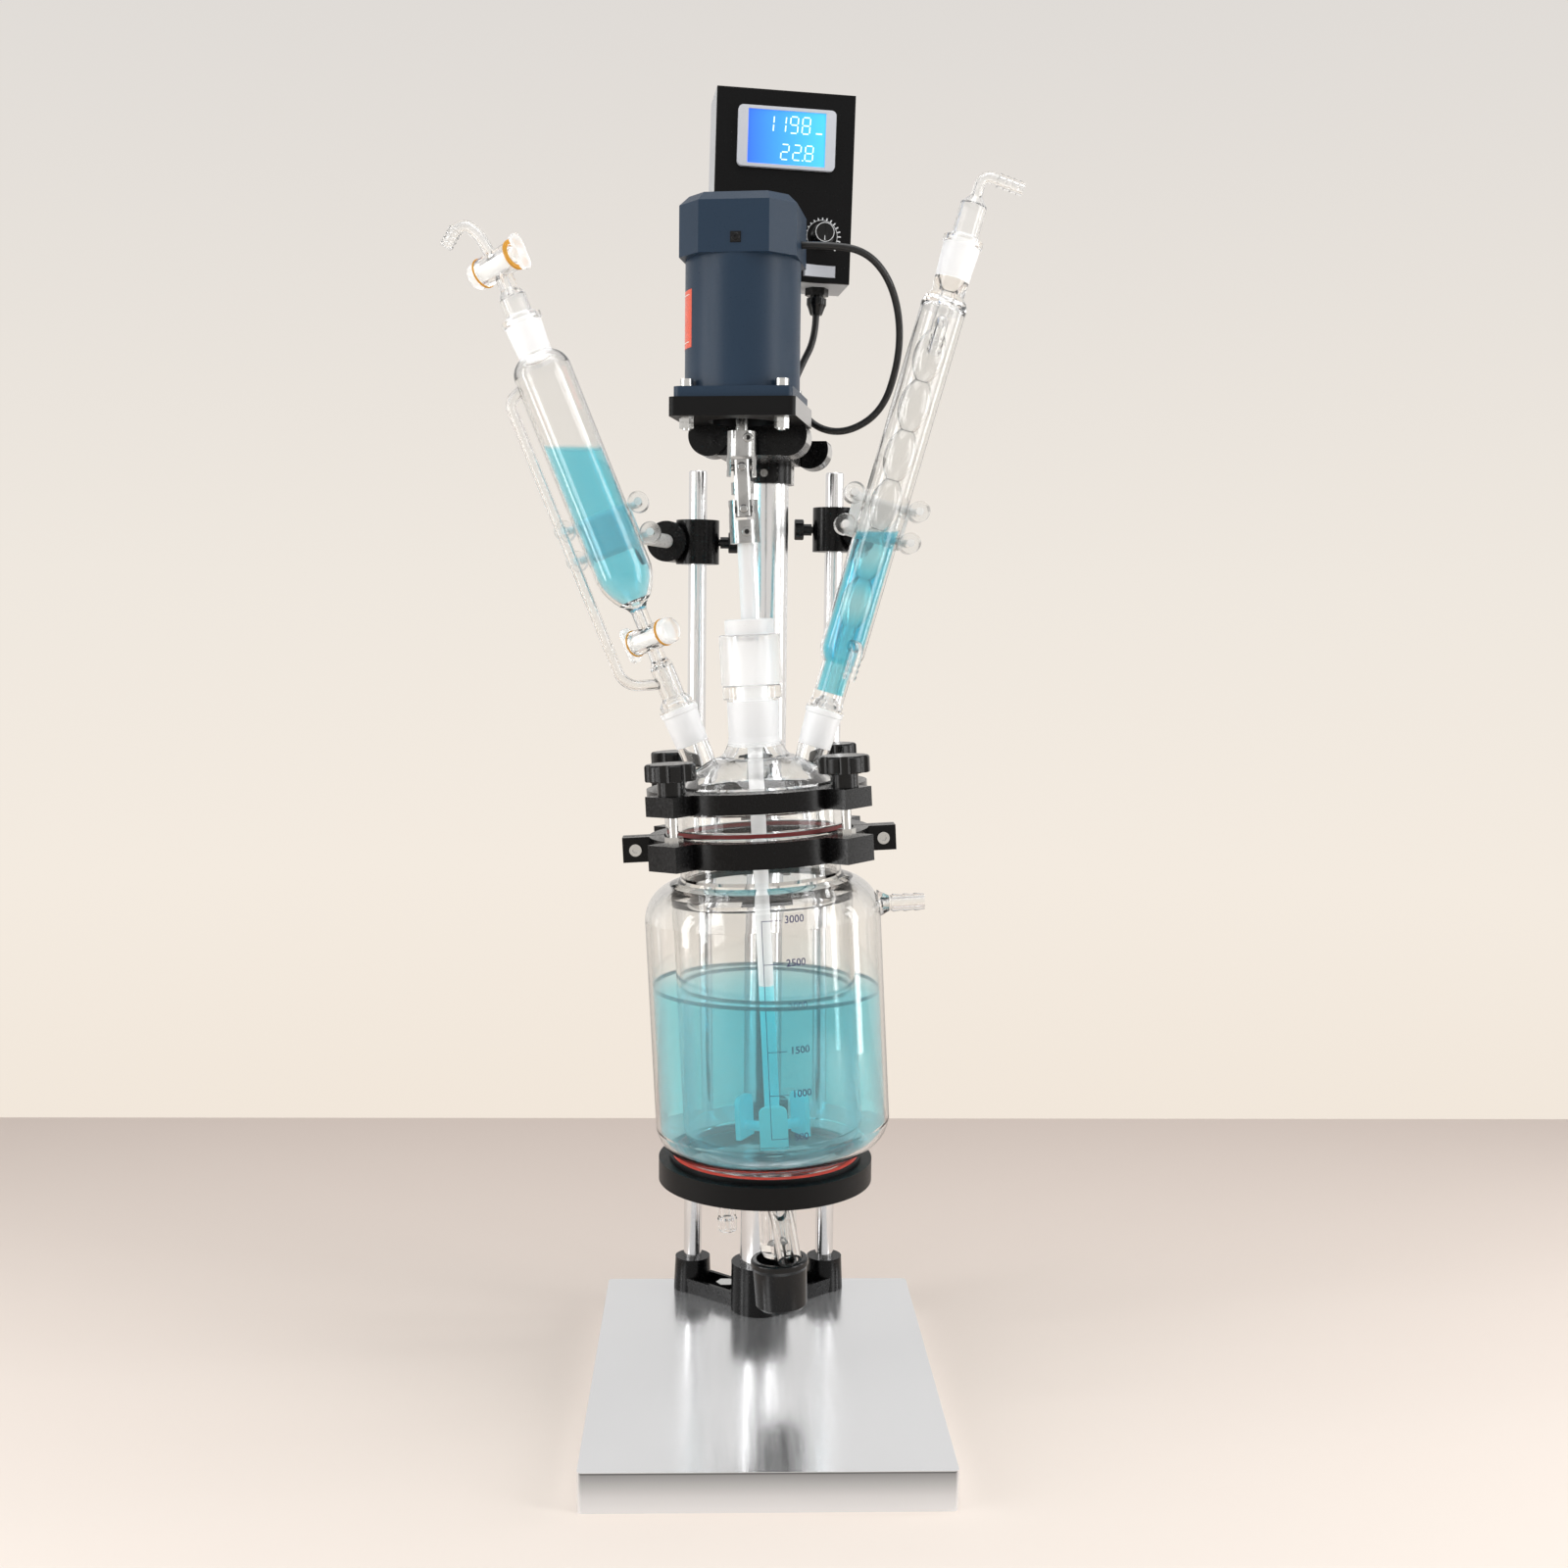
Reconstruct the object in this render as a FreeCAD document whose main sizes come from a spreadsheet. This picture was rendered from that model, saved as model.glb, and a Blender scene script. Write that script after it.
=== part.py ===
import FreeCAD, Part
import math
import os
import re

import Sketcher

# A three litre jacketed glass reactor with an overhead stirrer, on a stand.
# Millimetres, +Z up.  X = 0 and Y = 0 is the middle of the support tray, Z = 0 the floor
# under the base.  The column and the side rods stand behind the vessel, at +Y.  The whole
# glass group leans a little to -X about a line along Y through PivotHeight, and the universal
# joint takes up the angle between it and the plumb motor shaft.

doc = FreeCAD.newDocument("StirredReactor")
sizes = doc.addObject("Spreadsheet::Sheet", "Sizes")
sheet_row = 0


def keep(title, **values):
    """Write one group of driving dimensions into the sheet, one row each, with its alias."""
    global sheet_row
    sheet_row += 1
    sizes.set("A%d" % sheet_row, title)
    for alias, number in values.items():
        sheet_row += 1
        sizes.set("A%d" % sheet_row, alias)
        sizes.set("B%d" % sheet_row, str(number))
        sizes.setAlias("B%d" % sheet_row, alias)


keep("Fits", SeatGap=0.05, RunGap=0.06, SoftGap=0.3, FaceGap=0.1)
keep("Base, heights below are above its top", BaseWidth=272, BaseDepth=371, BaseHeight=30,
     BaseFront=172, SheetThick=1.5, BaseCorner=4)
keep("Column and side rods", ColumnPlace=131, ColumnRadius=17.5, ColumnHeight=1000,
     RodSpread=59.5, RodPlace=181, RodRadius=8, RodHeight=730, RodChamfer=1)
keep("Foot casting", ColumnSocketWall=7.5, ColumnSocketHeight=42, SideSocketTop=15.5,
     SideSocketBase=16.8, SideSocketHeight=29, WebWidth=30, WebThick=6, WebRim=13,
     WebRimThick=3.5, FootBoltPlace=0.5)
keep("Hexagon bolts and nuts", BoltRadius=4, BoltHeadCorner=8.4, BoltHeadHeight=6,
     WasherRadius=9, WasherThick=1.6, BoltHoleGap=0.3, NutHeight=5)
keep("Lean of the glass group", LeanAngle=3.3, PivotHeight=303)
keep("Support tray", TrayRadius=84.5, TrayBottom=160, TrayThick=17.5, TrayBore=65,
     TrayArmWidth=28, TrayArmHeight=15, SleeveWall=7, SleeveHeight=26, SeatRingRadius=71,
     SeatRingSection=4.1)
keep("Jacketed vessel", JacketRadius=92.5, GlassWall=3, VesselInner=67.5, NeckOuter=63,
     DishStart=163, DishRadius=133, DishEdge=74, DishEdgeRise=21.8, JacketCornerRise=21.5,
     JacketCorner=26, ShoulderStart=372, ShoulderEnd=401, ShoulderRadius=31, ShoulderNeck=66,
     InnerFloor=178, InnerCornerRise=26, InnerCorner=40, InnerShoulder=384, OutletRadius=14)
keep("Vessel flange and gasket", FlangeRadius=73, FlangeThick=11, GasketThick=3,
     GasketRadius=69.5, GasketWidth=4)
keep("Jacket nipples", NippleRadius=6.2, NippleBore=3.6, NippleLength=26, NippleHeight=375,
     NippleFoot=11, NippleFootLength=9, NippleRidge=0.9, LowerNipplePlace=40,
     LowerNippleEnd=118, LowerNippleRadius=7)
keep("Clamp rings", RingLow=418.5, LowerRingThick=19.5, RingRadius=86, UpperRingLow=459.4,
     UpperRingThick=15, RingBore=62.5, LugWidth=30, LugReach=104.5, StudSpread=64.5,
     StudRadius=3.5, StudHoleGap=0.7, EarReach=106.5, EarThick=8, RingSplit=2,
     EarScrewPlace=96.5, EarScrewRadius=2.5, EarScrewHead=4.75, RingRodRadius=8,
     RingRodDepth=10, FlangeRecess=9)
keep("Star knobs", KnobRadius=19.5, KnobHeadThick=13, KnobNeckRadius=10.5, KnobNeckLength=11,
     KnobScallop=5.5, KnobBoreDepth=15, KnobLobes=7, KnobEdge=1.2, ScallopOut=0.45)
keep("Lid", LidWall=4, LidShoulder=61.5, DomeFoot=476, DomeTop=497, DomeTopRadius=27,
     DomeRadius=62, NeckFootRise=26, NeckRadius=20, NeckTop=541, NeckBore=15.5, NeckFlare=510,
     SideNeckAngle=19, SideNeckRoot=367.3, SideNeckAxial=173.1, LeftNeckRise=6.5, SocketRadius=15,
     SocketFoot=12.9, SocketLength=31, SocketBore=12, SocketBoreFoot=10.4)
keep("Stirrer seal", SealCollarRadius=22.9, SealCollarThick=11, SealHousingRadius=23.9,
     SealHousingHeight=39, SealCapRadius=19, SealCapHeight=11.7, SealConeLength=34)
keep("Stirrer", ShaftRadius=6, ShaftBottom=190, HubRadius=10, HubHeight=20, PaddleWidth=22,
     PaddleHeight=34, PaddleThick=4.5, PaddlePlace=26, PaddleRound=6, ArmRadius=4, Paddles=3)
keep("Universal joint", CrossHeight=718.7, CrossSpan=32, YokeRadius=11.5, LowerYokeLength=31,
     UpperYokeLength=34, YokeOverhang=7, LowerSlot=6.9, UpperSlot=8.2, LinkRadius=9,
     LinkHalfWidth=6.2, LinkEnd=5.5, LinkSlot=4.9, LinkBulge=8.8, LinkBulgeLength=9,
     PinRadius=2.5, PinPlay=0.8, CrossBlock=9.4, ShaftSocket=16, MotorShaftRadius=5)
keep("Motor and its bracket", PlateLow=752, PlateThick=14, PlateWidth=96, PlateBore=26,
     PlateCorner=5, FlangeSide=90, FlangeHigh=8, MotorRadius=44, MotorHeight=97, CapFlats=89,
     CapHeight=45, CapCorner=18, CapChamfer=7, MotorBoltSpread=36, MotorBoltRadius=3, MotorBoltHead=5,
     ClampSleeveLow=715, ClampSleeveHeight=68, ClampSleeveWall=4.5, BracketArmWidth=54,
     BracketArmHeight=22, LobeRadius=16, LobeSpread=31, LobePlace=25, LobeLength=30,
     LobeHeight=745, RearLobePlace=20, RearLobeSide=34, SetScrewRadius=3.2, ClampScrewUp=8.3)
keep("Control box", BoxWidth=110, BoxHeight=146, BoxDepth=52, BoxLow=870, BoxYaw=5.7,
     BoxRoll=1.3, BoxShift=-0.9, PanelThick=3, BoxWall=1.5, BoxBandHeight=26,
     BoxBandWall=5, ScreenWidth=77.6, ScreenHeight=46.5, ScreenThick=4, ScreenSide=0.6,
     ScreenUp=109, ScreenRim=8, ScreenRimHigh=2.5, DialRadius=7.75, DialLength=15,
     DialSide=31.8, DialUp=36.4, DialPin=3, RockerWidth=26, RockerHeight=9, RockerSide=30.3,
     RockerUp=9, RockerTilt=8, RockerGap=0.5, GlandSide=33, GlandRadius=8, GlandLength=21)
keep("Motor cable", CableRadius=2.8)
keep("Ground joints and tubes", ConeDepth=29, ConeCollar=13.2, CollarHeight=6, TubeWall=1.8,
     JointRim=15.6, JointRimHeight=4, JointOuter=14.4, BarbRadius=4.6, BarbBore=2.6,
     BarbRidge=0.9)
keep("Dropping funnel, lengths above the socket's mouth", FunnelRadius=22.4, FunnelWall=1.8,
     StemRadius=9, StemNeck=6.2, StemTop=34.5, DripRadius=4, DripBore=2.4, PlugHeight=57.5,
     BarrelRadius=9.8, BarrelLength=30, BarrelTurn=40, PlugRadius=5.6, PlugBore=2,
     FunnelOutlet=79.5, FunnelFoot=104, FunnelShoulder=275, FunnelSocketFoot=288.5,
     FunnelSocketTop=318, SideTubeRadius=4.2, SideTubeBore=2.7, SideTubePlace=32.5,
     SideTubeLow=22, SideTubeHigh=267, FunnelLevel=212.5)
keep("Stopcocks", KeyRadius=10.2, KeyThick=8, KeyNeck=4.5, KeyNeckLength=3, HandleSpan=28,
     HandleWidth=11, HandleThick=3.6, StopRingThick=2, StopRingGrow=0.7)
keep("Gas adapter", AdapterRadius=10.3, AdapterTop=335, AdapterNeck=7, AdapterNeckLow=341,
     GasPlugHeight=361, GasBarrelRadius=11, GasBarrelLength=32, GasBarrelTurn=35,
     GasRootOut=3, GasRootUp=5, GasRiseOut=6, GasRiseUp=26, GasCrestOut=12, GasCrestUp=35.5,
     GasFallOut=20, GasTipOut=33, GasTipUp=26)
keep("Condenser, lengths above the socket's mouth", CondenserRadius=17.7, CondenserFoot=35.5,
     CondenserFull=46, CondenserHigh=316, CondenserSocketFoot=329, CondenserSocketTop=372,
     BulbRadius=12.4, BulbNeck=5.5, BulbWall=1.3, BulbPitch=39.3, BulbStart=65, Bulbs=6,
     PortRadius=4.8, PortBore=3, PortOut=11, PortReach=26, PortLow=52, PortHigh=304,
     LowPortTurn=18, CondenserLevel=141, CondenserNeck=12.5, CondenserNeckLow=12,
     BendRadius=4.3, BendBore=2.6, BendTop=423, BendShoulder=399, BendNeckLow=406,
     BendReach=33, BendDrop=2, BendBarbStart=12)
keep("Rod clamps", ClampAlong=152.5, BossRadius=18.75, BossHeight=38, BossOffset=22,
     CrossRadius=17.5, CrossLength=46, ArmRodRadius=6, PalmPlace=38, PalmThick=14,
     PalmWidth=46, ProngRadius=3, ProngSpread=12.5, SleeveRadius=8,
     SleeveLength=22, ProngFront=14, ThumbRadius=9, ThumbThick=8, ThumbScrewRadius=3,
     ThumbNeck=8)
keep("Drain valve", ValveRadius=15, ValveBore=9, ValveBottom=78, DrainArmHeight=136,
     DrainArmRadius=9.2, DrainArmBore=6.5, DrainArmReach=52, DrainArmDrop=27, DrainArmTurn=8,
     DrainKnobLow=52.5, DrainKnobTop=93, DrainKnobRadius=21.7, DrainKnobRim=23.2,
     DrainCupRadius=18.6, DrainCupDepth=22, DrainStemRadius=4, DrainStemTop=104, DrainKnobEdge=2)
keep("Liquids", LiquidLevel=315)
doc.recompute()


# ---------------------------------------------------------------------------------------
# Helpers: formulas are written with the sheet's aliases and bound with setExpression
# ---------------------------------------------------------------------------------------

def bound(formula):
    """The same formula as an expression of the document: every alias read from the sheet."""
    return re.sub(r"(?<![\w.])([A-Z]\w+)(?![\w.])", r"Sizes.\1", formula)


def value(formula):
    """What a formula gives with the sheet's present numbers."""
    answer = sizes.evalExpression(formula)
    return float(getattr(answer, "Value", answer))


def seat(piece, inside="", at=("0", "0", "0"), axis=(0, 0, 1), turn="0"):
    """Bind a piece's Placement: a point and a turn about an axis, inside a named frame."""
    spot = "vector(%s; %s; %s)" % tuple(bound(part) for part in at)
    spin = "rotation(vector(%g; %g; %g); %s)" % (axis + (bound(turn),))
    own = "placement(%s; %s)" % (spot, spin)
    lead = inside + ".Placement * " if inside else ""
    piece.setExpression("Placement", lead + own)
    return piece


def frame(name, inside="", **where):
    """A named frame that pieces are seated in."""
    return seat(doc.addObject("App::Placement", name), inside, **where)


def solid(kind, name, formulas, **where):
    """A Part primitive whose properties are bound to formulas."""
    piece = doc.addObject("Part::" + kind, name)
    for size, formula in formulas.items():
        piece.setExpression(size, bound(formula))
    return seat(piece, **where)


def cylinder(name, radius, height, **where):
    return solid("Cylinder", name, {"Radius": radius, "Height": height}, **where)


def cone(name, foot, top, height, **where):
    return solid("Cone", name, {"Radius1": foot, "Radius2": top, "Height": height}, **where)


def block(name, length, width, height, **where):
    return solid("Box", name, {"Length": length, "Width": width, "Height": height}, **where)


def middle_block(name, length, width, height, at=("0", "0", "0"), **where):
    """A box centred on its point in X and Y and standing on it, unless it is turned."""
    corner = ("%s - (%s) / 2" % (at[0], length), "%s - (%s) / 2" % (at[1], width), at[2])
    return block(name, length, width, height, at=corner, **where)


def hexagon(name, corner, height, **where):
    piece = solid("Prism", name, {"Circumradius": corner, "Height": height}, **where)
    piece.Polygon = 6
    return piece


def fuse(name, pieces, **where):
    piece = doc.addObject("Part::MultiFuse", name)
    piece.Shapes = pieces
    return seat(piece, **where)


def cut(name, base, tools, **where):
    piece = doc.addObject("Part::Cut", name)
    piece.Base = base
    piece.Tool = tools[0] if len(tools) == 1 else fuse(name + "Tools", tools)
    return seat(piece, **where)


def common(name, base, tool, **where):
    piece = doc.addObject("Part::Common", name)
    piece.Base = base
    piece.Tool = tool
    return seat(piece, **where)


def group(name, pieces, **where):
    """Separate solids of like fasteners or sleeves, kept in one node."""
    piece = doc.addObject("Part::Compound", name)
    piece.Links = pieces
    return seat(piece, **where)


def turned(name, outline, rounds=(), **where):
    """A PartDesign body turned about Z from a sketched outline.

    The outline is a closed list of (radius, height) formulas.  A third value is the signed
    radius of the arc that arrives at the point, positive where it runs counter-clockwise.
    Each of the rounds is (radius, height, fillet) and fillets the circle at that corner.
    """
    body = doc.addObject("PartDesign::Body", name)
    sketch = body.newObject("Sketcher::SketchObject", name + "Outline")
    planes = [item for item in body.Origin.OriginFeatures if item.Role == "XZ_Plane"]
    sketch.AttachmentSupport = [(planes[0], "")]
    sketch.MapMode = "FlatFace"
    points = [FreeCAD.Vector(value(item[0]), value(item[1]), 0) for item in outline]
    count = len(outline)
    heads = {}
    for index in range(count):
        start = points[index - 1]
        end = points[index]
        if len(outline[index]) == 2:
            sketch.addGeometry(Part.LineSegment(start, end), False)
            heads[index] = (1, 2)
            continue
        radius = value(outline[index][2])
        chord = end - start
        height = math.sqrt(radius * radius - chord.Length * chord.Length / 4)
        side = FreeCAD.Vector(-chord.y, chord.x, 0).normalize()
        centre = (start + end) / 2 + side * math.copysign(height, radius)
        first, last = (start, end) if radius > 0 else (end, start)
        angles = [math.atan2(spot.y - centre.y, spot.x - centre.x) for spot in (first, last)]
        circle = Part.Circle(centre, FreeCAD.Vector(0, 0, 1), abs(radius))
        sketch.addGeometry(Part.ArcOfCircle(circle, angles[0], angles[1]), False)
        heads[index] = (1, 2) if radius > 0 else (2, 1)
        rule = sketch.addConstraint(Sketcher.Constraint("Radius", index, abs(radius)))
        sketch.renameConstraint(rule, "Arc%d" % index)
        sketch.setExpression("Constraints.Arc%d" % index, bound("abs(%s)" % outline[index][2]))
    for index in range(count):
        after = (index + 1) % count
        sketch.addConstraint(Sketcher.Constraint("Coincident", index, heads[index][1], after,
                                                 heads[after][0]))
        across, up = outline[index][0], outline[index][1]
        if across == "0":
            sketch.addConstraint(Sketcher.Constraint("PointOnObject", index,
                                                     heads[index][1], -2))
        else:
            rule = sketch.addConstraint(Sketcher.Constraint(
                "DistanceX", -1, 1, index, heads[index][1], points[index].x))
            sketch.renameConstraint(rule, "Across%d" % index)
            sketch.setExpression("Constraints.Across%d" % index, bound(across))
        rule = sketch.addConstraint(Sketcher.Constraint(
            "DistanceY", -1, 1, index, heads[index][1], points[index].y))
        sketch.renameConstraint(rule, "Up%d" % index)
        sketch.setExpression("Constraints.Up%d" % index, bound(up))
    turn = body.newObject("PartDesign::Revolution", name + "Turned")
    turn.Profile = sketch
    turn.ReferenceAxis = (sketch, ["V_Axis"])
    turn.Angle = 360
    for number, (across, up, radius) in enumerate(rounds):
        doc.recompute()
        last = body.Tip
        edges = ring_edges(last.Shape, value(across), value(up))
        fillet = body.newObject("PartDesign::Fillet", "%sRound%d" % (name, number))
        fillet.Base = (last, edges)
        fillet.setExpression("Radius", bound(radius))
        body.Tip = fillet
    return seat(body, **where)


def ring_edges(shape, radius, height):
    """Names of the circular edges about Z at one radius and height."""
    names = []
    for number, edge in enumerate(shape.Edges, 1):
        if isinstance(edge.Curve, Part.Circle):
            centre = edge.Curve.Center
            if abs(edge.Curve.Radius - radius) < 0.01 and abs(centre.z - height) < 0.01:
                names.append("Edge%d" % number)
    return names


def softened(name, base, radius, chosen, **where):
    """Fillet the edges that chosen(edge) picks, all to one radius."""
    doc.recompute()
    piece = doc.addObject("Part::Fillet", name)
    piece.Base = base
    size = value(radius)
    piece.Edges = [(number, size, size) for number, edge in enumerate(base.Shape.Edges, 1)
                   if chosen(edge)]
    return seat(piece, **where)


def bevelled(name, base, size, chosen):
    """Chamfer the edges that chosen(edge) picks, all by one size."""
    doc.recompute()
    piece = doc.addObject("Part::Chamfer", name)
    piece.Base = base
    reach = value(size)
    piece.Edges = [(number, reach, reach) for number, edge in enumerate(base.Shape.Edges, 1)
                   if chosen(edge)]
    return piece


def upright(edge):
    """True for a straight edge along Z."""
    if len(edge.Vertexes) != 2 or not isinstance(edge.Curve, Part.Line):
        return False
    step = edge.Vertexes[1].Point - edge.Vertexes[0].Point
    return abs(step.x) + abs(step.y) < 1e-6


def smooth_path(points, share=0.45):
    """Straight runs joined by tangent arcs; returns the wire and the arcs' radii."""
    edges = []
    radii = []
    here = points[0]
    for before, corner, after in zip(points, points[1:], points[2:]):
        inward = (corner - before).normalize()
        outward = (after - corner).normalize()
        half_turn = inward.getAngle(outward) / 2
        reach = share * min((corner - before).Length, (after - corner).Length)
        radii.append(reach / math.tan(half_turn))
        arc_start = corner - inward * reach
        arc_end = corner + outward * reach
        bisector = (outward - inward).normalize()
        middle = corner + bisector * (radii[-1] / math.cos(half_turn) - radii[-1])
        edges.append(Part.LineSegment(here, arc_start).toShape())
        edges.append(Part.Arc(arc_start, middle, arc_end).toShape())
        here = arc_end
    edges.append(Part.LineSegment(here, points[-1]).toShape())
    return Part.Wire(edges), radii


def piped(name, points, radius, share=0.45, **where):
    """A round bar along straight runs and tangent arcs, through points given as formulas."""
    spots = [FreeCAD.Vector(*[value(part) for part in point]) for point in points]
    wire, _radii = smooth_path(spots, share)
    section = Part.Circle(spots[0], spots[1] - spots[0], value(radius)).toShape()
    piece = doc.addObject("Part::Feature", name)
    piece.Shape = wire.makePipeShell([Part.Wire(section)], True, False)
    return seat(piece, **where)


nodes = []


def node(label, piece):
    """Name a finished sub-part after its node."""
    piece.Label = label
    nodes.append(piece)
    return piece


# ---------------------------------------------------------------------------------------
# Frames
# ---------------------------------------------------------------------------------------
frame("Stand", at=("0", "0", "BaseHeight"))
vessel_spot = ("sin(LeanAngle) * PivotHeight", "0", "PivotHeight * (1 - cos(LeanAngle))")
frame("Vessel", "Stand", at=vessel_spot, axis=(0, 1, 0), turn="-LeanAngle")
mouth_places = {"Left": "(SideNeckAxial + LeftNeckRise)", "Right": "SideNeckAxial"}
neck_turns = {"Left": "-SideNeckAngle", "Right": "SideNeckAngle"}
for word, mouth in mouth_places.items():
    turn = neck_turns[word]
    frame(word + "Mouth", "Vessel", axis=(0, 1, 0), turn=turn, at=(
        "%s * sin(%s)" % (mouth, turn), "0", "SideNeckRoot + %s * cos(%s)" % (mouth, turn)))
cross_side = "(sin(LeanAngle) * (CrossHeight - PivotHeight))"
cross_up = "(PivotHeight + cos(LeanAngle) * (CrossHeight - PivotHeight))"
frame("Shaft", "Stand", at=("-" + cross_side, "0", "0"))
bracket_swing = "atan2(%s; ColumnPlace)" % cross_side
arm_length = "hypot(%s; ColumnPlace)" % cross_side
frame("Bracket", "Stand", at=("0", "ColumnPlace", "0"), turn="-" + bracket_swing)
frame("Motor", "Bracket", at=("0", "-" + arm_length, "0"))
frame("BoxTurn", "Stand", at=("0", "ColumnPlace", "BoxLow"), turn="BoxYaw")
frame("ControlBox", "BoxTurn", at=("BoxShift", "-ColumnRadius - BoxBandWall", "0"),
      axis=(0, 1, 0), turn="BoxRoll")

# ---------------------------------------------------------------------------------------
# Base: a folded stainless box, closed by a floor sheet
# ---------------------------------------------------------------------------------------
outer = block("BaseOuter", "BaseWidth", "BaseDepth", "BaseHeight",
              at=("-BaseWidth / 2", "-BaseFront", "0"))
outer = softened("BaseCorners", outer, "BaseCorner", upright)
inner = block("BaseInner", "BaseWidth - 2 * SheetThick", "BaseDepth - 2 * SheetThick",
              "BaseHeight - 2 * SheetThick",
              at=("SheetThick - BaseWidth / 2", "SheetThick - BaseFront", "SheetThick"))
bolt_side = "(RodSpread * FootBoltPlace)"
bolt_back = "((ColumnPlace + RodPlace) / 2)"
bolt_holes = [cylinder("BaseBoltHole%d" % number, "BoltRadius + BoltHoleGap", "2 * SheetThick",
                       at=("%d * %s" % (side, bolt_side), bolt_back, "BaseHeight - 1.5 * SheetThick"))
              for number, side in enumerate((-1, 1))]
node("base_plate", cut("BasePlate", outer, [inner] + bolt_holes))

# ---------------------------------------------------------------------------------------
# Foot casting: one socket for the column, two for the side rods, webs with raised rims
# ---------------------------------------------------------------------------------------
casting = [cylinder("ColumnSocket", "ColumnRadius + ColumnSocketWall", "ColumnSocketHeight",
                    at=("0", "ColumnPlace", "0"))]
bores = [cylinder("ColumnSocketBore", "ColumnRadius + SeatGap", "ColumnSocketHeight",
                  at=("0", "ColumnPlace", "0"))]
web_length = "hypot(RodSpread; RodPlace - ColumnPlace)"
for number, side in enumerate((-1, 1)):
    rod_at = ("%d * RodSpread" % side, "RodPlace", "0")
    casting.append(cone("SideSocket%d" % number, "SideSocketBase", "SideSocketTop",
                        "SideSocketHeight", at=rod_at))
    bores.append(cylinder("SideSocketBore%d" % number, "RodRadius + SeatGap",
                          "SideSocketHeight", at=rod_at))
    bores.append(cylinder("FootBoltHole%d" % number, "BoltRadius + BoltHoleGap", "WebThick",
                          at=("%d * %s" % (side, bolt_side), bolt_back, "0")))
    turn = "atan2(RodPlace - ColumnPlace; %d * RodSpread)" % side
    frame("WebFrame%d" % number, at=("0", "ColumnPlace", "0"), turn=turn)
    casting.append(block("Web%d" % number, web_length, "WebWidth", "WebThick",
                         inside="WebFrame%d" % number, at=("0", "-WebWidth / 2", "0")))
    for edge, across in enumerate(("-WebWidth / 2", "WebWidth / 2 - WebRimThick")):
        casting.append(block("WebRim%d%d" % (number, edge), web_length, "WebRimThick",
                             "WebRim", inside="WebFrame%d" % number, at=("0", across, "0")))
node("foot_casting", cut("FootCasting", fuse("FootSolid", casting), bores, inside="Stand"))

fasteners = []
for number, side in enumerate((-1, 1)):
    spot = ("%d * %s" % (side, bolt_side), bolt_back)
    head = hexagon("FootBoltHead%d" % number, "BoltHeadCorner", "BoltHeadHeight",
                   at=spot + ("WebThick + WasherThick",))
    washer = cylinder("FootBoltWasher%d" % number, "WasherRadius", "WasherThick",
                      at=spot + ("WebThick",))
    shank = cylinder("FootBoltShank%d" % number, "BoltRadius",
                     "WebThick + WasherThick + SheetThick + NutHeight",
                     at=spot + ("-SheetThick - NutHeight",))
    nut = hexagon("FootBoltNut%d" % number, "BoltHeadCorner", "NutHeight",
                  at=spot + ("-SheetThick - NutHeight",))
    fasteners.append(fuse("FootBolt%d" % number, [head, washer, shank, nut]))
node("foot_bolts", group("FootBolts", fasteners, inside="Stand"))

# ---------------------------------------------------------------------------------------
# Column and side rods: polished bar with a small turned chamfer at the top
# ---------------------------------------------------------------------------------------


def bar(name, radius, height, **where):
    return turned(name, [("0", "0"), (radius, "0"), (radius, height + " - RodChamfer"),
                         (radius + " - RodChamfer", height), ("0", height)], **where)


node("main_column", bar("MainColumn", "ColumnRadius", "ColumnHeight", inside="Stand",
                        at=("0", "ColumnPlace", "0")))
for word, side in (("left", "-RodSpread"), ("right", "RodSpread")):
    node(word + "_side_rod", bar(word.title() + "SideRod", "RodRadius", "RodHeight",
                                 inside="Stand", at=(side, "RodPlace", "0")))

# ---------------------------------------------------------------------------------------
# Support tray: a thick ring on an arm, clamped to the column by its sleeve
# ---------------------------------------------------------------------------------------
tray_disc = cylinder("TrayDisc", "TrayRadius", "TrayThick", at=("0", "0", "TrayBottom"))
sleeve_radius = "(ColumnRadius + SleeveWall)"
tray_arm = block("TrayArm", "TrayArmWidth", "ColumnPlace - TrayBore - 5", "TrayArmHeight",
                 at=("-TrayArmWidth / 2", "TrayBore + 5", "TrayBottom"))
tray_sleeve = cylinder("TraySleeve", sleeve_radius, "SleeveHeight",
                       at=("0", "ColumnPlace", "TrayBottom"))
tray_bore = cylinder("TrayHole", "TrayBore", "TrayThick", at=("0", "0", "TrayBottom"))
tray_column = cylinder("TraySleeveBore", "ColumnRadius + SeatGap", "SleeveHeight",
                       at=("0", "ColumnPlace", "TrayBottom"))
tray_screw = cylinder("TrayScrewHole", "SetScrewRadius + SeatGap", sleeve_radius,
                      at=("0", "ColumnPlace", "TrayBottom + SleeveHeight / 2"),
                      axis=(1, 0, 0), turn="-90")
tray = cut("SupportTray", fuse("TraySolid", [tray_disc, tray_arm, tray_sleeve]),
           [tray_bore, tray_column, tray_screw], inside="Stand")
node("support_tray", tray)
seat_ring = solid("Torus", "SeatRing", {"Radius1": "SeatRingRadius", "Radius2": "SeatRingSection"},
                  at=("0", "0", "TrayBottom + TrayThick"))
seat_floor = cylinder("SeatRingFloor", "TrayRadius", "2 * SeatRingSection",
                      at=("0", "0", "TrayBottom + TrayThick"))
node("tray_ring", common("TrayRing", seat_ring, seat_floor, inside="Stand"))

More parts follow.
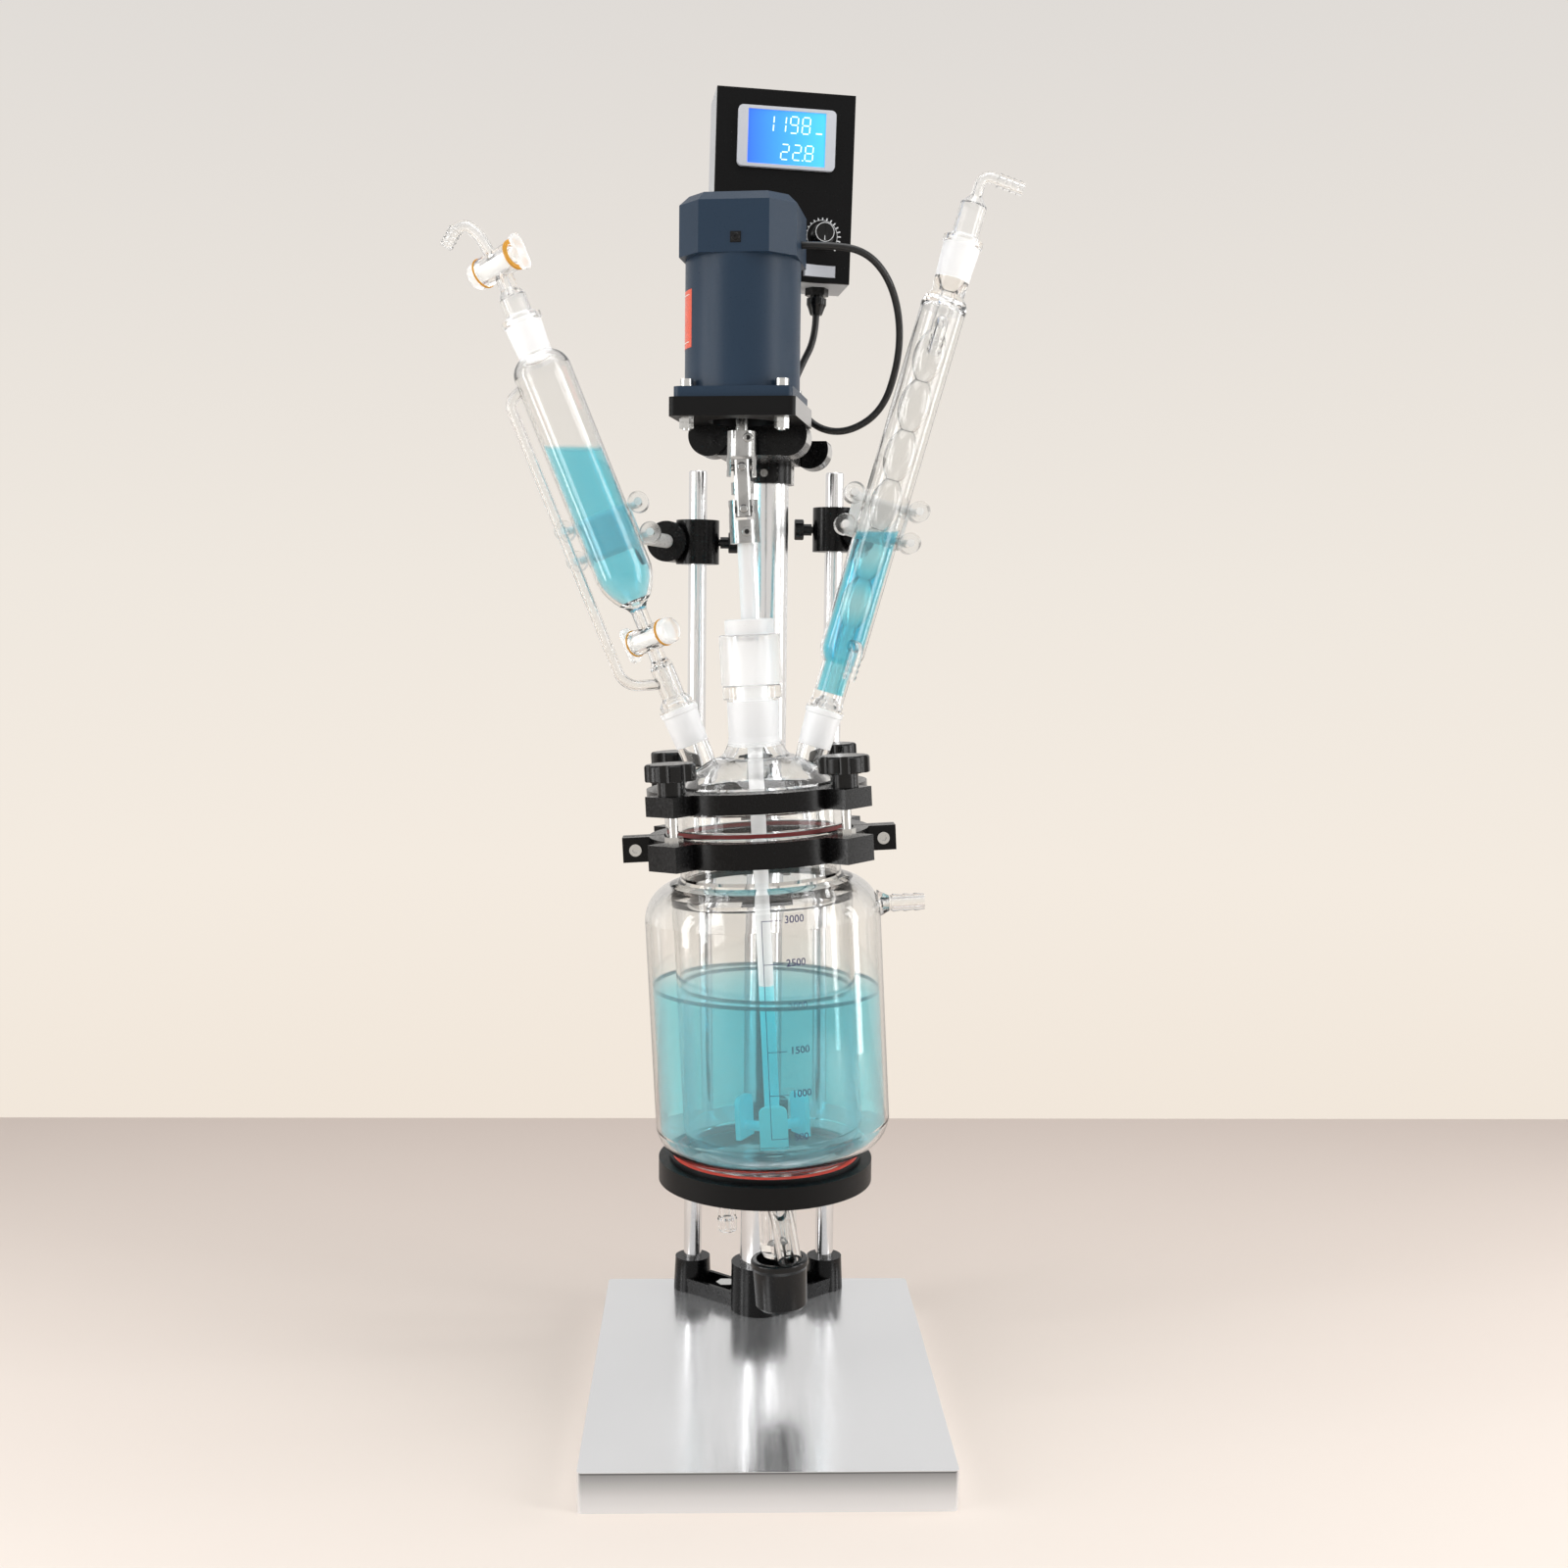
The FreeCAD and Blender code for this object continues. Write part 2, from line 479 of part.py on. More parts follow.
# ---------------------------------------------------------------------------------------
# Jacketed vessel: inner vessel and outer jacket blown as one piece of glass
# ---------------------------------------------------------------------------------------
ring_top = "(RingLow + LowerRingThick)"
flange_low = "(%s - FlangeRecess)" % ring_top
flange_top = "(%s + FlangeThick)" % flange_low
dish_edge_height = "(DishStart + DishEdgeRise)"
corner_height = "(%s + JacketCornerRise)" % dish_edge_height
glass_solid = turned("GlassOutside", [
    ("0", "DishStart"), ("OutletRadius", "DishStart"),
    ("DishEdge", dish_edge_height, "DishRadius"),
    ("JacketRadius", corner_height, "JacketCorner"),
    ("JacketRadius", "ShoulderStart"),
    ("ShoulderNeck", "ShoulderEnd", "ShoulderRadius"),
    ("NeckOuter", "ShoulderEnd + 4"), ("NeckOuter", flange_low),
    ("FlangeRadius", flange_low), ("FlangeRadius", flange_top), ("0", flange_top)],
    rounds=[("FlangeRadius", flange_top, "2"), ("FlangeRadius", flange_low, "2")])
outer_vessel = "(VesselInner + GlassWall)"
jacket_inside = "(JacketRadius - GlassWall)"
jacket_space = turned("JacketSpace", [
    ("OutletRadius", "DishStart + GlassWall"),
    ("DishEdge - 1", dish_edge_height + " + GlassWall", "DishRadius"),
    (jacket_inside, corner_height + " + 1", "JacketCorner - GlassWall"),
    (jacket_inside, "ShoulderStart"),
    (outer_vessel, "ShoulderEnd - GlassWall - 3", "ShoulderRadius - GlassWall"),
    (outer_vessel, "InnerFloor + InnerCornerRise"),
    ("InnerCorner", "InnerFloor - GlassWall", "-InnerCorner"),
    ("OutletRadius", "InnerFloor - GlassWall - 5")])
inner_space = turned("InnerSpace", [
    ("0", "InnerFloor - 5"), ("InnerCorner", "InnerFloor"),
    ("VesselInner", "InnerFloor + InnerCornerRise", "InnerCorner - GlassWall"),
    ("VesselInner", "InnerShoulder"), ("NeckOuter - GlassWall", "ShoulderEnd"),
    ("NeckOuter - GlassWall", flange_top), ("0", flange_top)])


def nipple(name, length, radius, bore, foot, foot_length, **where):
    """A hose nipple standing along Z: a flared foot, a plain neck and three low ridges."""
    first = "(%s + 2)" % foot_length
    pitch = "((%s - %s) / 3)" % (length, first)
    outline = [("0", "0"), (foot, "0"), (radius, foot_length), (radius, first)]
    for ridge in range(3):
        low = "(%s + %d * %s)" % (first, ridge, pitch)
        outline.append((radius + " + NippleRidge", "%s + %s * 0.15" % (low, pitch)))
        outline.append((radius, "%s + %s" % (low, pitch)))
    outline.append(("0", "%s + 3 * %s" % (first, pitch)))
    outside = turned(name, outline, **where)
    hole = cylinder(name + "Bore", bore, length + " + 24", **{
        "at": where.get("at", ("0", "0", "0")), "axis": where.get("axis", (0, 0, 1)),
        "turn": where.get("turn", "0")})
    return outside, hole


upper_nipple, upper_bore = nipple(
    "UpperNipple", "NippleLength + NippleFootLength + 2", "NippleRadius", "NippleBore",
    "NippleFoot", "NippleFootLength", at=("JacketRadius - 2", "0", "NippleHeight"),
    axis=(0, 1, 0), turn="90")
lower_length = "(DishStart + 6 - LowerNippleEnd)"
lower_nipple, lower_bore = nipple(
    "LowerNipple", lower_length, "LowerNippleRadius", "NippleBore", "NippleFoot",
    "NippleFootLength + 6", at=("-LowerNipplePlace", "0", "DishStart + 6"),
    axis=(1, 0, 0), turn="180")
seat(upper_bore, at=("JacketRadius - GlassWall - 3", "0", "NippleHeight"), axis=(0, 1, 0), turn="90")
seat(lower_bore, at=("-LowerNipplePlace", "0", "DishStart + 12"), axis=(1, 0, 0), turn="180")
outlet = cylinder("OutletTube", "OutletRadius", "InnerFloor - 5 - DishStart",
                  at=("0", "0", "DishStart"))
outlet_bore = cylinder("OutletBore", "ValveBore", "InnerFloor - DishStart + 8",
                       at=("0", "0", "DishStart - 4"))
vessel_glass = cut("VesselGlass", glass_solid, [jacket_space, inner_space, upper_bore, lower_bore])
vessel_whole = fuse("VesselWithOutlet", [vessel_glass, outlet])
node("jacketed_vessel", cut("JacketedVessel", vessel_whole, [outlet_bore], inside="Vessel"))
nipples = [cut("UpperNippleGlass", upper_nipple, [glass_solid, upper_bore]),
           cut("LowerNippleGlass", lower_nipple, [glass_solid, lower_bore])]
node("jacket_nipples", group("JacketNipples", nipples, inside="Vessel"))

# Liquid in the vessel, level with the world, with the stirrer's swept space left free
sweep_reach = "(PaddlePlace + PaddleThick)"
sweep_radius = "(hypot(%s; PaddleWidth / 2) + 2)" % sweep_reach


def level_box(name, height, tilt):
    """A wide box below a plane that stays level when its frame leans by tilt about Y."""
    return block(name, "400", "400", "500", at=(
        "-200 * cos(%s) - 500 * sin(%s)" % (tilt, tilt), "-200",
        "%s - 500 * cos(%s) + 200 * sin(%s)" % (height, tilt, tilt)),
        axis=(0, 1, 0), turn=tilt)


liquid_body = turned("LiquidBody", [
    ("0", "InnerFloor - 5 + SoftGap"), ("InnerCorner", "InnerFloor + SoftGap"),
    ("VesselInner - SoftGap", "InnerFloor + InnerCornerRise", "InnerCorner - GlassWall"),
    ("VesselInner - SoftGap", "LiquidLevel + 20"), ("0", "LiquidLevel + 20")])
sweep = turned("StirrerSweep", [
    ("0", "ShaftBottom - 3"), (sweep_radius, "ShaftBottom - 3"),
    (sweep_radius, "ShaftBottom + PaddleHeight + 3"),
    ("ShaftRadius + 2", "ShaftBottom + PaddleHeight + 3"),
    ("ShaftRadius + 2", "LiquidLevel + 30"), ("0", "LiquidLevel + 30")])
liquid_clear = cut("LiquidClear", liquid_body, [sweep])
vessel_liquid = common("VesselLiquid", liquid_clear,
                       level_box("VesselLevel", "LiquidLevel", "LeanAngle"))
jacket_fill = turned("JacketFill", [
    ("OutletRadius + SoftGap", "DishStart + GlassWall + SoftGap"),
    ("DishEdge - 1 - SoftGap", dish_edge_height + " + GlassWall + SoftGap", "DishRadius"),
    (jacket_inside + " - SoftGap", corner_height + " + 1", "JacketCorner - GlassWall"),
    (jacket_inside + " - SoftGap", "LiquidLevel + 20"),
    (outer_vessel + " + SoftGap", "LiquidLevel + 20"),
    (outer_vessel + " + SoftGap", "InnerFloor + InnerCornerRise"),
    ("InnerCorner", "InnerFloor - GlassWall - SoftGap", "-InnerCorner"),
    ("OutletRadius + SoftGap", "InnerFloor - GlassWall - 5 - SoftGap")])
jacket_liquid = common("JacketLiquid", jacket_fill,
                       level_box("JacketLevel", "LiquidLevel", "LeanAngle"))
node("vessel_liquids", group("VesselLiquids", [vessel_liquid, jacket_liquid],
                             inside="Vessel"))
gasket_radius = "(GasketRadius - GasketWidth / 2)"
gasket_outer = cylinder("GasketOuter", "GasketRadius + GasketWidth / 2", "GasketThick",
                        at=("0", "0", flange_top))
gasket_inner = cylinder("GasketInner", gasket_radius, "GasketThick", at=("0", "0", flange_top))
node("flange_gasket", cut("FlangeGasket", gasket_outer, [gasket_inner], inside="Vessel"))

# ---------------------------------------------------------------------------------------
# Clamp rings: the lower one split in two halves with screwed ears, the upper one whole
# ---------------------------------------------------------------------------------------
corners = [(-1, -1), (1, -1), (1, 1), (-1, 1)]


def ring_blank(name, low, thick, bore_radius):
    """A flat ring with a square lug to each corner, and its centre bored out."""
    pieces = [cylinder(name + "Disc", "RingRadius", thick, at=("0", "0", low))]
    for number, (across, along) in enumerate(corners[:2]):
        turn = "45" if across * along > 0 else "-45"
        lug = frame("%sLugTurn%d" % (name, number), turn=turn)
        bar_of_lugs = block("%sLugs%d" % (name, number), "2 * LugReach", "LugWidth", thick,
                            inside=lug.Name, at=("-LugReach", "-LugWidth / 2", low))
        pieces.append(bar_of_lugs)
    return pieces, cylinder(name + "Bore", bore_radius, thick, at=("0", "0", low))


def stud_spots():
    return [("%d * StudSpread" % across, "%d * StudSpread" % along) for across, along in corners]


blank, ring_hole = ring_blank("LowerRing", "RingLow", "LowerRingThick", "NeckOuter + 1")
blank.append(block("Ears", "2 * EarReach", "2 * EarThick + RingSplit", "LowerRingThick",
                   at=("-EarReach", "-EarThick - RingSplit / 2", "RingLow")))
tools = [ring_hole, cylinder("LowerRecess", "FlangeRadius + 1", "FlangeRecess",
                             at=("0", "0", flange_low)),
         cylinder("RingRodHole", "RingRodRadius + SeatGap", "RingRodDepth",
                  at=("0", "RingRadius + 1", "RingLow + LowerRingThick / 2"),
                  axis=(1, 0, 0), turn="90")]
for number, spot in enumerate(stud_spots()):
    tools.append(cylinder("LowerStudHole%d" % number, "StudRadius + SeatGap",
                          "LowerRingThick", at=spot + ("RingLow",)))
for number, side in enumerate((-1, 1)):
    tools.append(cylinder("EarHole%d" % number, "EarScrewRadius + SeatGap",
                          "2 * EarThick + RingSplit",
                          at=("%d * EarScrewPlace" % side, "EarThick + RingSplit / 2",
                              "RingLow + LowerRingThick / 2"), axis=(1, 0, 0), turn="90"))
lower_whole = cut("LowerWhole", fuse("LowerBlank", blank), tools)
for word, low_side in (("front", "-RingSplit / 2 - 2 * EarReach"), ("rear", "RingSplit / 2")):
    half = block("Half" + word.title(), "4 * EarReach", "2 * EarReach", "LowerRingThick",
                 at=("-2 * EarReach", low_side, "RingLow"))
    node("lower_ring_" + word, common("LowerRing" + word.title(), lower_whole, half,
                                      inside="Vessel"))

screws = []
for number, side in enumerate((-1, 1)):
    spot = ("%d * EarScrewPlace" % side, "-EarThick - RingSplit / 2",
            "RingLow + LowerRingThick / 2")
    shank = cylinder("EarScrewShank%d" % number, "EarScrewRadius",
                     "2 * EarThick + RingSplit", at=spot, axis=(1, 0, 0), turn="-90")
    head = cylinder("EarScrewHead%d" % number, "EarScrewHead", "1.4 * EarScrewRadius",
                    at=spot, axis=(1, 0, 0), turn="90")
    socket = hexagon("EarScrewSocket%d" % number, "EarScrewRadius", "EarScrewRadius",
                     at=(spot[0], spot[1] + " - 1.4 * EarScrewRadius", spot[2]),
                     axis=(1, 0, 0), turn="-90")
    screws.append(cut("EarScrew%d" % number, fuse("EarScrewSolid%d" % number, [shank, head]),
                      [socket]))
node("ear_screws", group("EarScrews", screws, inside="Vessel"))

blank, ring_hole = ring_blank("UpperRing", "UpperRingLow", "UpperRingThick", "RingBore")
tools = [ring_hole]
for number, spot in enumerate(stud_spots()):
    tools.append(cylinder("UpperStudHole%d" % number, "StudRadius + StudHoleGap",
                          "UpperRingThick", at=spot + ("UpperRingLow",)))
node("upper_clamp_ring", cut("UpperClampRing", fuse("UpperBlank", blank), tools,
                             inside="Vessel"))

upper_ring_top = "(UpperRingLow + UpperRingThick)"
knob_low = "(%s + FaceGap)" % upper_ring_top
studs = []
for number, spot in enumerate(stud_spots()):
    stud = cylinder("Stud%d" % number, "StudRadius",
                    "%s + KnobBoreDepth - 1 - RingLow" % knob_low, at=spot + ("RingLow",))
    nut = hexagon("StudNut%d" % number, "StudRadius * 1.98", "StudRadius * 1.6",
                  at=spot + (ring_top,))
    nut_bore = cylinder("StudNutBore%d" % number, "StudRadius + SeatGap", "StudRadius * 1.6",
                        at=spot + (ring_top,))
    studs.append(stud)
    studs.append(cut("StudNutCut%d" % number, nut, [nut_bore]))
node("clamp_studs", group("ClampStuds", studs, inside="Vessel"))

for number, spot in enumerate(stud_spots()):
    name = "StarKnob%d" % (number + 1)
    neck = cylinder(name + "Neck", "KnobNeckRadius", "KnobNeckLength + 1")
    head = turned(name + "Head", [
        ("0", "KnobNeckLength"), ("KnobRadius", "KnobNeckLength"),
        ("KnobRadius", "KnobNeckLength + KnobHeadThick"),
        ("0", "KnobNeckLength + KnobHeadThick")],
        rounds=[("KnobRadius", "KnobNeckLength + KnobHeadThick", "KnobEdge * 2"),
                ("KnobRadius", "KnobNeckLength", "KnobEdge")])
    scallops = []
    for lobe in range(int(value("KnobLobes"))):
        turn = "(%d * 360 / KnobLobes)" % lobe
        scallops.append(cylinder("%sScallop%d" % (name, lobe), "KnobScallop",
                                 "KnobHeadThick + 2",
                                 at=("(KnobRadius + KnobScallop * ScallopOut) * cos(%s)" % turn,
                                     "(KnobRadius + KnobScallop * ScallopOut) * sin(%s)" % turn,
                                     "KnobNeckLength - 1")))
    hole = cylinder(name + "Bore", "StudRadius + RunGap", "KnobBoreDepth")
    scalloped = cut(name + "Scalloped", head, scallops)
    knob = cut(name, fuse(name + "Solid", [neck, scalloped]), [hole], inside="Vessel",
               at=spot + (knob_low,), turn="%d * 11" % number)
    node("star_knob_%d" % (number + 1), knob)

# Ring bracket: a sleeve on the column with the rod that carries the lower ring
rod_height = "(PivotHeight + cos(LeanAngle) * (RingLow + LowerRingThick / 2 - PivotHeight))"
rod_side = "(sin(LeanAngle) * (RingLow + LowerRingThick / 2 - PivotHeight))"
rod_start = "(RingRadius - RingRodDepth + 1.5)"
ring_rod = cylinder("RingRod", "RingRodRadius", "ColumnPlace - ColumnRadius - 2 - %s" % rod_start,
                    at=("-" + rod_side, "ColumnPlace - ColumnRadius - 2", rod_height),
                    axis=(1, 0, 0), turn="90")
ring_sleeve = cylinder("RingSleeve", sleeve_radius, "SleeveHeight + 8",
                       at=("0", "ColumnPlace", rod_height + " - SleeveHeight / 2 - 4"))
ring_column = cylinder("RingSleeveBore", "ColumnRadius + SeatGap", "SleeveHeight + 8",
                       at=("0", "ColumnPlace", rod_height + " - SleeveHeight / 2 - 4"))
ring_screw = cylinder("RingScrewHole", "SetScrewRadius + SeatGap", sleeve_radius,
                      at=("0", "ColumnPlace", rod_height), axis=(1, 0, 0), turn="-90")
node("ring_bracket", cut("RingBracket", fuse("RingBracketSolid", [ring_rod, ring_sleeve]),
                         [ring_column, ring_screw], inside="Stand"))

# ---------------------------------------------------------------------------------------
# Lid: a glass dome on a thick flange, a wide middle neck and a ground socket on each side
# ---------------------------------------------------------------------------------------
lid_low = "(%s + GasketThick)" % flange_top
dome_start = "UpperRingLow - FaceGap"
lid_outside = turned("LidOutside", [
    ("0", lid_low), ("FlangeRadius", lid_low), ("FlangeRadius", dome_start),
    ("LidShoulder", dome_start), ("LidShoulder - 1", "DomeFoot"),
    ("DomeTopRadius", "DomeTop", "DomeRadius"),
    ("NeckRadius", "NeckFlare + 2", "-24"), ("NeckRadius", "NeckTop"), ("0", "NeckTop")],
    rounds=[("FlangeRadius", dome_start, "3"), ("FlangeRadius", lid_low, "2")])
lid_inside = turned("LidInside", [
    ("0", lid_low), ("NeckOuter - GlassWall", lid_low),
    ("LidShoulder - LidWall", "DomeFoot - 4"),
    ("DomeTopRadius - LidWall / 2", "DomeTop - LidWall", "DomeRadius - LidWall"),
    ("NeckBore", "NeckFlare - 3", "-24"), ("0", "NeckFlare - 3")])
neck_bore = cone("MiddleNeckBore", "NeckBore - 1", "NeckBore", "NeckTop - NeckFlare + 4",
                 at=("0", "0", "NeckFlare - 4"))
sockets = []
socket_bores = []
for word, mouth in mouth_places.items():
    root = frame(word + "Root", at=("0", "0", "SideNeckRoot"), axis=(0, 1, 0),
                 turn=neck_turns[word])
    tube_low = "(DomeFoot - SideNeckRoot - 4)"
    socket_foot = "(%s - SocketLength)" % mouth
    sockets.append(turned(word + "Socket", [
        ("0", tube_low), ("SocketRadius + 3", tube_low),
        ("SocketFoot - 1", tube_low + " + NeckFootRise", "-60"),
        ("SocketFoot", socket_foot), ("SocketRadius - 1", mouth + " - 6"),
        ("SocketRadius", mouth + " - 5"), ("SocketRadius", mouth), ("0", mouth)],
        inside=root.Name))
    socket_bores.append(turned(word + "SocketBore", [
        ("0", "DomeFoot - SideNeckRoot - 12"), ("SocketBoreFoot - 1", "DomeFoot - SideNeckRoot - 12"),
        ("SocketBoreFoot - 1", socket_foot), ("SocketBoreFoot", socket_foot),
        ("SocketBore", mouth), ("0", mouth)], inside=root.Name))
lid_half = middle_block("LidHalf", "2 * LugReach", "2 * LugReach", "NeckTop",
                        at=("0", "0", dome_start + " + UpperRingThick / 2"))
lid_core = cylinder("LidCore", "LidShoulder - 1", "NeckTop", at=("0", "0", lid_low))
tubes = common("SideTubes", fuse("SideTubesSolid", sockets), fuse("TubeZone", [lid_half, lid_core]))
lid_solid = fuse("LidSolid", [lid_outside, tubes])
node("vessel_lid", cut("VesselLid", lid_solid, [lid_inside, neck_bore] + socket_bores,
                       inside="Vessel"))

# ---------------------------------------------------------------------------------------
# Stirrer seal: a glass collar with its cone in the neck, a housing and a cap over it
# ---------------------------------------------------------------------------------------
shaft_hole = "ShaftRadius + RunGap"
collar_top = "(NeckTop + SealCollarThick)"
housing_top = "(%s + SealHousingHeight)" % collar_top
cap_top = "(%s + SealCapHeight)" % housing_top
node("seal_collar", turned("SealCollar", [
    (shaft_hole, "NeckTop - SealConeLength"),
    ("NeckBore - 1 - SeatGap", "NeckTop - SealConeLength"),
    ("NeckBore - SeatGap", "NeckTop"), ("SealCollarRadius", "NeckTop"),
    ("SealCollarRadius", collar_top), (shaft_hole, collar_top)],
    rounds=[("SealCollarRadius", collar_top, "1.5")], inside="Vessel"))
node("seal_housing", turned("SealHousing", [
    (shaft_hole, collar_top), ("SealHousingRadius", collar_top),
    ("SealHousingRadius", housing_top), (shaft_hole, housing_top)],
    rounds=[("SealHousingRadius", housing_top, "2")], inside="Vessel"))
node("seal_cap", turned("SealCap", [
    (shaft_hole, housing_top), ("SealCapRadius", housing_top), ("SealCapRadius", cap_top),
    (shaft_hole, cap_top)], rounds=[("SealCapRadius", cap_top, "1.5")], inside="Vessel"))

# ---------------------------------------------------------------------------------------
# Stirrer: one long shaft, a hub, and three rounded paddles on short arms
# ---------------------------------------------------------------------------------------
yoke_low = "(CrossHeight - CrossSpan - LowerYokeLength + YokeOverhang - 2)"
shaft_top = "(%s + ShaftSocket - 0.5)" % yoke_low
stirrer = [turned("StirrerShaft", [
    ("0", "ShaftBottom"), ("HubRadius - 2", "ShaftBottom"), ("HubRadius", "ShaftBottom + 2"),
    ("HubRadius", "ShaftBottom + HubHeight"), ("ShaftRadius", "ShaftBottom + HubHeight + 4"),
    ("ShaftRadius", shaft_top), ("0", shaft_top)])]
for number in range(int(value("Paddles"))):
    turn = "(%d * 360 / Paddles - 90)" % number
    paddle_frame = frame("PaddleTurn%d" % number, turn=turn)
    stirrer.append(cylinder("PaddleArm%d" % number, "ArmRadius", "PaddlePlace",
                            inside=paddle_frame.Name,
                            at=("0", "0", "ShaftBottom + HubHeight / 2"),
                            axis=(0, 1, 0), turn="90"))
    plate = block("PaddlePlate%d" % number, "PaddleThick", "PaddleWidth", "PaddleHeight",
                  at=("PaddlePlace - PaddleThick / 2", "-PaddleWidth / 2", "ShaftBottom"))
    plate = softened("Paddle%d" % number, plate, "PaddleRound",
                     lambda edge: edge.Length < value("PaddleThick") + 0.01
                     and edge.BoundBox.ZMin > value("ShaftBottom + PaddleHeight") - 0.01,
                     inside=paddle_frame.Name)
    stirrer.append(plate)
node("stirrer", fuse("Stirrer", stirrer, inside="Vessel"))

# ---------------------------------------------------------------------------------------
# Double universal joint: two slotted yokes and a forked link with a cross block in each end
# ---------------------------------------------------------------------------------------
lower_cross = "(CrossHeight - CrossSpan)"


def yoke(name, low, length, slot_low, slot_half, cross_height, bore_radius, bore_low, **where):
    """A turned yoke whose slot runs along Y and whose pin hole runs along X."""
    blank = cylinder(name + "Blank", "YokeRadius", length, at=("0", "0", low))
    slot = middle_block(name + "Slot", "2 * " + slot_half, "3 * YokeRadius",
                        "CrossSpan", at=("0", "0", slot_low))
    pin_hole = cylinder(name + "PinHole", "PinRadius + PinPlay", "3 * YokeRadius",
                        at=("-1.5 * YokeRadius", "0", cross_height), axis=(0, 1, 0), turn="90")
    socket = cylinder(name + "Socket", bore_radius, "ShaftSocket", at=("0", "0", bore_low))
    return cut(name, blank, [slot, pin_hole, socket], **where)


node("lower_yoke", yoke("LowerYoke", yoke_low, "LowerYokeLength + 2",
                        "%s - YokeOverhang - 1.5" % lower_cross, "LowerSlot", lower_cross,
                        "ShaftRadius + SeatGap", yoke_low, inside="Vessel"))
link_low = "(%s - LinkEnd)" % lower_cross
link_top = "(CrossHeight + LinkEnd)"
link_middle = "(CrossHeight - CrossSpan / 2)"
link_bar = cylinder("LinkBar", "LinkRadius", "CrossSpan + 2 * LinkEnd", at=("0", "0", link_low))
link_sides = middle_block("LinkSides", "2 * LinkHalfWidth", "4 * LinkRadius",
                          "CrossSpan + 2 * LinkEnd", at=("0", "0", link_low))
link_flat = common("LinkFlat", link_bar, link_sides)
link_slots = [middle_block("LinkSlot%d" % number, "4 * LinkRadius", "2 * LinkSlot",
                           "CrossSpan / 2 - LinkBulgeLength / 2 + LinkEnd", at=("0", "0", low))
              for number, low in enumerate((link_low, link_middle + " + LinkBulgeLength / 2"))]
link_parts = [cut("LinkForked", link_flat, link_slots),
              cylinder("LinkBulge", "LinkBulge", "LinkBulgeLength",
                       at=("0", "0", link_middle + " - LinkBulgeLength / 2"))]
for number, height in enumerate((lower_cross, "CrossHeight")):
    link_parts.append(middle_block("CrossBlock%d" % number, "CrossBlock", "CrossBlock",
                                   "CrossBlock", at=("0", "0", height + " - CrossBlock / 2")))
    link_parts.append(cylinder("CrossPin%d" % number, "PinRadius", "2 * YokeRadius - 1",
                               at=("0.5 - YokeRadius", "0", height), axis=(0, 1, 0), turn="90"))
    link_parts.append(cylinder("LinkPin%d" % number, "PinRadius + 0.4", "2 * LinkRadius + 0.6",
                               at=("0", "LinkRadius + 0.3", height), axis=(1, 0, 0), turn="90"))
node("joint_link", fuse("JointLink", link_parts, inside="Vessel"))
upper_low = "(%s - YokeOverhang)" % cross_up
upper_top = "(%s + UpperYokeLength)" % upper_low
node("upper_yoke", yoke("UpperYoke", upper_low, "UpperYokeLength",
                        "%s + YokeOverhang + LinkEnd + 2.2 - CrossSpan" % upper_low, "UpperSlot",
                        cross_up, "MotorShaftRadius + SeatGap", upper_top + " - ShaftSocket",
                        inside="Shaft"))
node("motor_shaft", cylinder("MotorShaft", "MotorShaftRadius",
                             "PlateLow + PlateThick - RunGap - %s + ShaftSocket - 0.5" % upper_top,
                             inside="Shaft", at=("0", "0", upper_top + " - ShaftSocket + 0.5")))

# ---------------------------------------------------------------------------------------
# Motor bracket: a sleeve on the column, an arm, two clamp lobes and a rear one, and a plate
# ---------------------------------------------------------------------------------------
motor_corners = [("%d * MotorBoltSpread" % across, "%d * MotorBoltSpread" % along)
                 for across, along in corners]
plate = middle_block("PlateBlock", "PlateWidth", "PlateWidth", "PlateThick",
                     at=("0", "0", "PlateLow"))
plate = softened("PlateCorners", plate, "PlateCorner", upright)
tools = [cylinder("PlateHole", "PlateBore", "PlateThick", at=("0", "0", "PlateLow"))]
for number, spot in enumerate(motor_corners):
    tools.append(cylinder("PlateBoltHole%d" % number, "MotorBoltRadius + BoltHoleGap",
                          "PlateThick", at=spot + ("PlateLow",)))
node("motor_plate", cut("MotorPlate", plate, tools, inside="Motor"))

clamp_sleeve = "(ColumnRadius + ClampSleeveWall)"
arm_front = "(PlateBore + 3)"
bracket_parts = [
    cylinder("ClampSleeve", clamp_sleeve, "ClampSleeveHeight", at=("0", "0", "ClampSleeveLow")),
    block("BracketArm", "BracketArmWidth", "%s - %s" % (arm_length, arm_front),
          "BracketArmHeight", at=("-BracketArmWidth / 2", "%s - %s" % (arm_front, arm_length),
                                  "PlateLow - BracketArmHeight"))]
lobe_spots = [("%d * LobeSpread" % side, "LobePlace + LobeLength - %s" % arm_length)
              for side in (-1, 1)]
lobe_spots.append(("RearLobeSide", "RearLobePlace + LobeLength / 2"))
lobe_trim = middle_block("LobeTrim", "6 * LobeSpread", "4 * ColumnPlace", "2 * LobeRadius",
                         at=("0", "0", "PlateLow - 2 * LobeRadius"))
lobes = []
for number, spot in enumerate(lobe_spots):
    lobes.append(cylinder("Lobe%d" % number, "LobeRadius", "LobeLength",
                          at=spot + ("LobeHeight",), axis=(1, 0, 0), turn="90"))
bracket_parts.append(common("LobesTrimmed", fuse("Lobes", lobes), lobe_trim))
bracket_parts.append(block("RearLobeWeb", "RearLobeSide", "LobeRadius", "LobeRadius",
                           at=("0", "RearLobePlace - LobeRadius / 2", "LobeHeight - LobeRadius / 2")))
